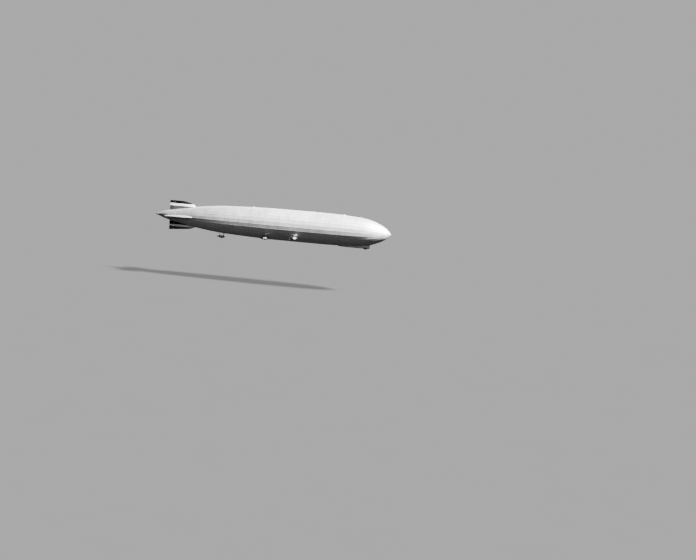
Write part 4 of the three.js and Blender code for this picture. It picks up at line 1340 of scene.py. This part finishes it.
trim = Form()
for side in (1, -1):
    level = PORT * side

    def wall_bar(one, two, out, wide, deep, look=COVER):
        trim.bar(wall_point(*one, side, out), wall_point(*two, side, out), level, wide, deep, look)

    for front, back, sill, lintel, panes in SIDE_WINDOWS:
        trim.border(wall_corners(front, back, sill, lintel, side, 0.02), level, *SIDE_FRAME)
        below = sill - SILL_DROP
        wall_bar((front - SILL_LAP, below), (back + SILL_LAP, below), 0.05, 0.06, 0.1)
        for s in spread(front, back, panes)[1:-1]:
            wall_bar((s, sill), (s, lintel), -0.02, 0.05, 0.05)
    for z, wide, deep, last in RAILS:
        for stations in (RAIL_FRONT, RAIL_BACK):
            path = [wall_point(s, z, side, 0.01) for s in stations if s <= last]
            trim.sweep(path, rounded(wide, deep, 0.015, 2), COVER, level)
    if side > 0:
        z, wide, deep, _ = RAILS[0]
        wall_bar((RAIL_FRONT[-1], z), (RAIL_BACK[0], z), 0.01, wide, deep)
    for s in STRIPS:
        top = -math.sqrt(max(hull_radius(s) ** 2 - half_width(s) ** 2, 0)) - 0.05
        wall_bar((s, -14.9), (s, top), 0.008, 0.1, 0.035)
    for first, last in HANDRAILS:
        stations = spread(first, last, 2)
        trim.tube([wall_point(s, HANDRAIL_HEIGHT, side, 0.1) for s in stations], 0.025, METAL)
        for s in stations:
            trim.tube([wall_point(s, HANDRAIL_HEIGHT, side, out) for out in (-0.03, 0.1)], 0.02, METAL)

# The rounded front's frames and bars, one to each flat side, and its rails
front_rows = [(CABIN_PLAN[0][0], -CABIN_PLAN[0][1])] + CABIN_PLAN[:5]
sill, lintel, post = FRONT_WINDOW
for (s0, y0), (s1, y1) in zip(front_rows, front_rows[1:]):
    for side in ((1,) if y0 < 0 else (1, -1)):
        one, two = at(s0, y0 * side, 0), at(s1, y1 * side, 0)
        along = (two - one).normalized()
        level = along.cross(UP) * side
        if level.dot(one + two - at(*FRONT_MIDDLE) * 2) < 0:
            level = -level
        one, two = one + along * post, two - along * post
        spots = ((one, sill), (two, sill), (two, lintel), (one, lintel))
        trim.border([p + UP * z + level * 0.02 for p, z in spots], level, *FRONT_FRAME)
        middle = one.lerp(two, 0.5)
        trim.bar(middle + UP * sill, middle + UP * lintel, level, 0.04, 0.04)
front_path = [(s, -y) for s, y in CABIN_PLAN[4::-1]] + CABIN_PLAN[:5]
for z, wide, deep, paint in FRONT_RAILS:
    trim.sweep([at(s, y, z) for s, y in front_path], rounded(deep, wide, 0.015, 2), paint, UP)

# The frame round the door, without its front post, then the step and the handle behind the door
door_front, door_back, door_sill, door_lintel = DOOR
corners = wall_corners(*DOOR, -1, 0.02, 0.05)
for one, two in ((0, 1), (2, 3), (1, 2)):
    trim.bar(corners[one], corners[two], -PORT, *DOOR_FRAME)
step = [at(s, STEP_MIDDLE, STEP_HEIGHT) for s in (door_back + 0.05, door_front - 0.05)]
trim.bar(*step, UP, 0.3, 0.04, METAL)
handle = [(-3.0, -13.7), (-3.09, -13.72), (-3.09, -14.3), (-3.0, -14.32)]
trim.tube([at(door_back + 0.18, y, z) for y, z in handle], 0.02, METAL, 8, AXIS)
# Seams across the tray under the cabin, and the rubbing strips along it
for s in TRAY_SEAMS:
    half = half_width(s)
    edge = [(half + out, z) for out, z in TRAY_EDGE]
    path = edge + [(0, TRAY_EDGE[-1][1])] + [(-y, z) for y, z in edge[::-1]]
    trim.sweep([at(s, y, z) for y, z in path], rounded(0.025, 0.09, 0.008, 1), TRAY, AXIS)
for y in RUBBING_STRIPS:
    trim.sweep([at(26.4, y, -15.51), at(42.8, y, -15.51)], rounded(0.12, 0.05, 0.015, 2), TRAY)
trim.place("cabin_trim", [cabin_cover, trim_metal, shaded_tray_cover], "cabin_skin")

leaf = Form()
panel = (door_front + 0.14, door_back - 0.14, door_sill + 0.12, door_lintel - 0.12)
leaf.border(wall_corners(*panel, -1, 0.012), -PORT, *PANEL_FRAME)
leaf.border(wall_corners(*DOOR_WINDOW, -1, 0.012), -PORT, *DOOR_WINDOW_FRAME)
latch = [(0.22, -2.99, -14.32), (0.22, -3.07, -14.32), (0.34, -3.07, -14.34)]
leaf.tube([at(door_back - ahead, y, z) for ahead, y, z in latch], 0.018, 1, 8)
leaf.place("door_trim", [cabin_cover, bright_metal], "cabin_skin", body="door")

# Hoods and a mast on the ridge, hatches, ballast outlets and lamps on the hull
RIDGE_HOODS = (46.5, 76.5, 136.4)
RIDGE_TOP = 15.3
HOOD_HEIGHTS = (0.26, 0.6)  # least and most
MAST = (29.4, 1.7)  # station, height
# Each hatch: station, gores from the top, length, width.
HATCHES = [(13.5, 13.5, 1.3, 0.9), (13.5, 14.5, 1.3, 0.9), (56.5, 13.5, 1.4, 1), (83, 14.5, 1.4, 1),
           (108, 13.5, 1.4, 1), (136.5, 14.5, 1.4, 1), (160, 13.5, 1.3, 0.9), (186, 14.5, 1.2, 0.8),
           (88, 0.5, 1, 0.8), (150, 0.5, 1, 0.8)]
OUTLETS = (50.5, 69, 96.5, 125.5, 153.5, 179)
LAMPS = [(104, 90, 0), (104, 270, 1), (61.5, 180, 2)]  # station, degrees from the top, lens
LANDING_LAMP = (16.6, 13.5 * GORE)
fittings, hoods, lenses = Form(), Form(), Form()
PLAIN, DOPED = range(2)


def hull_hatch(station, angle, long, wide):
    """A hinged panel that lies on the hull, with its rim, its hinges and its catch."""
    spot, out, forward, sideways = place_on_skin(station, angle)
    corners = [spot + forward * a * long / 2 + sideways * b * wide / 2
               for a, b in ((1, 1), (1, -1), (-1, -1), (-1, 1))]
    fittings.slab([p - out * 0.06 for p in corners], out * 0.075, DOPED)
    fittings.border(corners, out, 0.08, 0.06, PLAIN)
    for share in (-0.3, 0.3):
        eye = spot + forward * (long / 2 + 0.03) + sideways * share * wide + out * 0.03
        fittings.tube([eye - sideways * 0.08, eye + sideways * 0.08], 0.03, PLAIN, 8, out)
    fittings.dome(spot - forward * (long / 2 - 0.12), out, sideways, 0.09, 0.03, 0.05, PLAIN, 10, 3)


for station in RIDGE_HOODS:
    spot, out, forward, sideways = place_on_skin(station, 0.0)
    high = clamp(RIDGE_TOP - hull_radius(station), *HOOD_HEIGHTS)
    hoods.dome(spot, out, forward, 1.3, 0.55, high, 0, 32, 8, 0.25)
    hoods.dome(spot, out, forward, 1.5, 0.7, 0.05, 0, 32, 2, 0.2)
    # The hood's mouth: a near-black dome, as painted shade
    hoods.dome(spot - forward * 0.85, out, forward, 0.35, 0.3, high * 0.72, 1, 20, 5, 0.1)
station, high = MAST
spot = on_skin(station, 0.0)
hoods.tube([spot - UP * 0.1, spot + UP * high * 0.6], 0.17, 0, 16, AXIS)
hoods.tube([spot + UP * high * 0.55, spot + UP * high], 0.1, 0, 12, AXIS)
fittings.disc(spot - UP * 0.1, UP, 0.28, 0.16, PLAIN, 24)
fittings.ring(spot + UP * high, UP, 0.1, 0.025, PLAIN, 16)
for turn in (0.5, 2.6, 4.7):
    foot = spot + Vector((math.cos(turn), math.sin(turn), 0)) * 0.7 - UP * 0.15
    fittings.tube([foot, spot + UP * high * 0.58], 0.015, PLAIN, 5, AXIS)
for station, gores, long, wide in HATCHES:
    hull_hatch(station, gores * GORE, long, wide)
for station in OUTLETS:
    spot, out, forward, sideways = place_on_skin(station, 14 * GORE)
    for way in (-1, 1):
        root = spot + sideways * way * 0.35
        path = [root - out * 0.1, root + out * 0.16, root + out * 0.3 - forward * 0.12]
        fittings.tube(path, 0.09, PLAIN, 14, sideways)
        fittings.disc(root - out * 0.03, out, 0.17, 0.06, PLAIN, 20)
for station, degrees, lens in LAMPS:
    spot, out, forward, sideways = place_on_skin(station, math.radians(degrees))
    fittings.dome(spot, out, forward, 0.36, 0.2, 0.1, PLAIN, 20, 4, 0.08)
    fittings.ring(spot + out * 0.1, out, 0.12, 0.02, PLAIN, 16)
    lenses.dome(spot + out * 0.08, out, forward, 0.11, 0.11, 0.13, lens, 16, 5, 0.02)
# The landing lamp ahead of the cabin, and the lamp at the tail
spot, out, forward, sideways = place_on_skin(*LANDING_LAMP)
fittings.dome(spot, out, forward, 0.7, 0.42, 0.3, PLAIN, 28, 6, 0.1)
face = spot + forward * 0.42 + out * 0.2
tilt = (forward + out * 0.8).normalized()
fittings.ring(face, tilt, 0.24, 0.04, PLAIN, 24)
lenses.dome(face - tilt * 0.02, tilt, forward.cross(out), 0.23, 0.23, 0.06, 2, 24, 5, 0.03)
tail = at(236.5, 0, 0)
fittings.dome(tail, -AXIS, UP, 0.2, 0.2, 0.12, PLAIN, 20, 4, 0.15)
lenses.dome(tail - AXIS * 0.1, -AXIS, UP, 0.1, 0.1, 0.12, 2, 16, 5, 0.02)
hoods.place("ridge_hoods", [nose_skin, opening], "skin")
fittings.place("hull_fittings", [trim_metal, skin], "iron")
lenses.place("lamp_lenses", [red_lamp, green_lamp, white_lamp], "glass")


# Inside the cabin: the wheels and the board of the control room, the chart table, the set, the lounge
FLOOR = -14.9
DARK, LIGHT, BRIGHT, IRON, DIAL = range(5)
CORNERS = ((-1, -1), (-1, 1), (1, -1), (1, 1))
# Each block: front, back, Y and Z of its middle, width, height, look.
BLOCKS = [
    (20.72, 21.0, 0, -13.85, 0.34, 0.26, DARK),
    (23.9, 24.02, -1.5, -13.85, 1.5, 0.7, DARK),
    (23.4, 24.0, 1.5, -14.45, 0.9, 0.05, LIGHT),
    (24.9, 26.9, -2.1, -14.16, 0.95, 0.05, DARK),
    (25.0, 26.8, -2.1, -14.35, 0.85, 0.3, LIGHT),
    (24.6, 27.2, 2.4, -14.5, 0.6, 0.75, LIGHT),
    (28.2, 29.8, 2.3, -14.5, 0.7, 0.75, LIGHT),
    (28.3, 29.6, 2.45, -13.98, 0.4, 0.3, DARK),
]
# Each wheel: station, Y and height of its stand's top, station and Y of its middle, its way, its radius.
WHEELS = [(20.9, 0, -13.95, 21.12, 0, -AXIS, 0.4), (22.6, 2.3, -14.05, 22.6, 2.08, -PORT, 0.42)]
BOARD_FRONT = 23.9
DRAWERS = (25.3, 25.9, 26.5)
LOCKERS = (24.66, 25.18, 25.7, 26.22, 26.74)
SET_DIALS = (28.45, 28.7, 28.95, 29.2, 29.45)
TABLES = [(s, y) for s in (31.7, 34.6) for y in (-1.75, 1.75)]
TABLE_SIZE, TABLE_HEIGHT = 0.95, 0.46
SEATS = [(s, side * 1.35) for side in (-1, 1) for s in (36.6, 38.8, 40.8)]
SEAT_LENGTH = 1.4

inside = Form()


def knob(middle, normal, radius, look, sides, steps, high=0.03, sunk=0.0):
    inside.dome(middle, normal, AXIS, radius, radius, high, look, sides, steps, sunk)


def dial(middle, normal, radius, rim, sides):
    inside.disc(middle, normal, radius, 0.03, DIAL, sides)
    inside.ring(middle + normal * 0.03, normal, radius + rim[0], rim[1], BRIGHT, sides)


def hand_wheel(middle, normal, radius):
    """A spoked wheel with its handles, on a hub."""
    one, two = across(normal)
    inside.ring(middle, normal, radius, 0.028, DARK, 40)
    inside.ring(middle, normal, radius * 0.62, 0.012, BRIGHT, 32)
    inside.disc(middle - normal * 0.05, normal, 0.08, 0.1, BRIGHT, 20)
    for a in turns(8):
        way = one * math.cos(a) + two * math.sin(a)
        inside.tube([middle, middle + way * radius], 0.016, DARK, 8, normal)
        grip = [middle + way * (radius + out) for out in (0, 0.05, 0.12, 0.16)]
        inside.tube(grip, 0.02, DARK, 8, normal)


def stand(s, y, top):
    """A pedestal with its foot."""
    inside.disc(at(s, y, FLOOR), UP, 0.22, 0.03, BRIGHT, 24)
    heights = (FLOOR + 0.02, lerp(FLOOR, top, 0.3), top)
    inside.tube([at(s, y, z) for z in heights], 0.1, LIGHT, 20, AXIS)
    inside.disc(at(s, y, top - 0.02), UP, 0.14, 0.06, BRIGHT, 24)


def leg(s, y, high, radius, sides=8):
    inside.tube([at(s, y, FLOOR), at(s, y, FLOOR + high)], radius, DARK, sides, AXIS)


def table(s, y):
    """A table on four turned legs."""
    half = TABLE_SIZE / 2
    apron = half - 0.08
    inside.block(s - half, s + half, y, FLOOR + TABLE_HEIGHT, TABLE_SIZE, 0.045, DARK)
    inside.block(s - apron, s + apron, y, FLOOR + TABLE_HEIGHT - 0.06, 2 * apron, 0.07, DARK)
    for a, b in CORNERS:
        leg(s + a * (half - 0.1), y + b * (half - 0.1), TABLE_HEIGHT - 0.03, 0.03)


def chair(s, y, way):
    """A light chair, its back on the side that way names, as -1 or 1 along the ship."""
    inside.block(s - 0.2, s + 0.2, y, FLOOR + 0.3, 0.4, 0.04, LIGHT)
    for a, b in CORNERS:
        leg(s + a * 0.18, y + b * 0.18, 0.58 if a == way else 0.29, 0.018, 6)
    for high in (0.4, 0.48, 0.56):
        inside.block(s + way * 0.17, s + way * 0.19, y, FLOOR + high, 0.36, 0.045, DARK)


for block in BLOCKS:
    inside.block(*block)
for s, y, top, wheel_s, wheel_y, facing, radius in WHEELS:
    stand(s, y, top)
    hand_wheel(at(wheel_s, wheel_y, top), facing, radius)
    inside.tube([at(s, y, top), at(wheel_s, wheel_y, top)], 0.03, BRIGHT, 10)
knob(at(20.86, 0, -13.72), UP, 0.13, BRIGHT, 20, 5, 0.1)
# The board's blank dials and its levers
for z in (-13.68, -14.02):
    for y in (-0.98, -1.33, -1.68, -2.03):
        spot = at(BOARD_FRONT, y, z)
        dial(spot, AXIS, 0.12, (0.005, 0.014), 24)
        inside.tube([spot + AXIS * 0.036, spot + AXIS * 0.036 + UP * 0.09], 0.006, IRON, 6, AXIS)
for y in (-0.9, -1.2, -1.5, -1.8, -2.1):
    spot = at(BOARD_FRONT, y, -14.3)
    top = spot + AXIS * 0.1 + UP * 0.12
    inside.tube([spot, top], 0.012, BRIGHT, 8, PORT)
    knob(top, UP, 0.03, DARK, 10, 4, sunk=0.01)
# The chart table's drawers, legs and lamp, and the lockers across from it
for s in DRAWERS:
    inside.block(s - 0.26, s + 0.26, -1.675, -14.34, 0.03, 0.24, DARK, 0.01)
    knob(at(s, -1.655, -14.34), PORT, 0.03, BRIGHT, 12, 3)
for s in (25.05, 26.75):
    for y in (-2.48, -1.74):
        inside.tube([at(s, y, FLOOR), at(s, y, -14.45)], 0.035, LIGHT, 8, AXIS)
lamp_arm = [(26.7, -2.45, -14.14), (26.7, -2.45, -13.75), (26.5, -2.35, -13.62)]
inside.tube([at(*p) for p in lamp_arm], 0.015, BRIGHT, 8, AXIS)
knob(at(26.42, -2.3, -13.66), UP, 0.11, BRIGHT, 20, 5, 0.09)
for s in LOCKERS:
    inside.block(s, s + 0.44, 2.085, -14.5, 0.03, 0.66, DARK, 0.01)
    knob(at(s + 0.36, 2.065, -14.45), -PORT, 0.025, BRIGHT, 10, 3)
for s in SET_DIALS:
    dial(at(s, 2.25, -13.98), -PORT, 0.07, (0.002, 0.01), 20)
for s, y in TABLES:
    table(s, y)
    for way in (-1, 1):
        for shift in (-0.28, 0.28):
            chair(s + way * 0.78, y + shift, way)
for s, y in SEATS:
    inside.block(s, s + SEAT_LENGTH, y, FLOOR + 0.14, 0.8, 0.24, LIGHT)
    inside.block(s, s + SEAT_LENGTH, y, FLOOR + 0.28, 0.76, 0.05, DARK)
inside.place("cabin_fittings", [dark_wood, boards, bright_metal, iron, dial_face], "cabin_inside")

# Light: a soft key from the starboard bow, a weak fill from port, a pale floor well below the ship.
# Each sun: name, the way to it, strength, angle in degrees.
SUNS = [
    ("key", (0.66, -0.148, 0.735), 55.0, 8),
    ("fill", (-0.3, 0.9, 0.25), 3.0, 50),
    ("bounce", (0.2, -0.8, 0.6), 0.8, 60),
]
BACKDROP = 0.5
SKY = 0.05
FLOOR_BELOW = 6.0
FLOOR_REACH = 3000.0
FLOOR_TONES = (0.0205, 0.0219)
FLOOR_GLOW = 0.218  # with the light on it, it comes to the backdrop's level

for name, towards, strength, angle in SUNS:
    light = add_object(name, bpy.data.lights.new(name, "SUN"))
    light.data.energy = strength
    light.data.angle = math.radians(angle)
    light.rotation_euler = Vector(towards).to_track_quat("Z", "Y").to_euler()

world = bpy.data.worlds.new("studio")
bpy.context.scene.world = world
world.use_nodes = True
sky = world.node_tree
sky.nodes.clear()
dim = add_node(sky, "Background", {"Color": grey(0.9), "Strength": SKY})
seen = add_node(sky, "Background", {"Color": grey(1.0), "Strength": BACKDROP})
first_ray = add_node(sky, "LightPath").outputs["Is Camera Ray"]
both = add_node(sky, "MixShader", {0: first_ray, 1: dim.outputs[0], 2: seen.outputs[0]})
give(sky, add_node(sky, "OutputWorld").inputs["Surface"], both.outputs[0])

floor_mesh = bpy.data.meshes.new("floor")
square = ((-1, -1), (1, -1), (1, 1), (-1, 1))
corners = [Vector((x, y, 0)) * FLOOR_REACH - UP * FLOOR_BELOW for x, y in square]
floor_mesh.from_pydata(corners, [], [[0, 1, 2, 3]])
floor_paint, tree = start("studio floor")
shade(tree, as_grey(tree, scaled(tree, noise(tree, 0.4), *FLOOR_TONES)), 1.0,
      **{"Specular IOR Level": 0.0, "Emission Color": grey(1.0), "Emission Strength": FLOOR_GLOW})
floor_mesh.materials.append(floor_paint)
floor = add_object("floor", floor_mesh)
floor.visible_diffuse = False
floor.visible_glossy = False
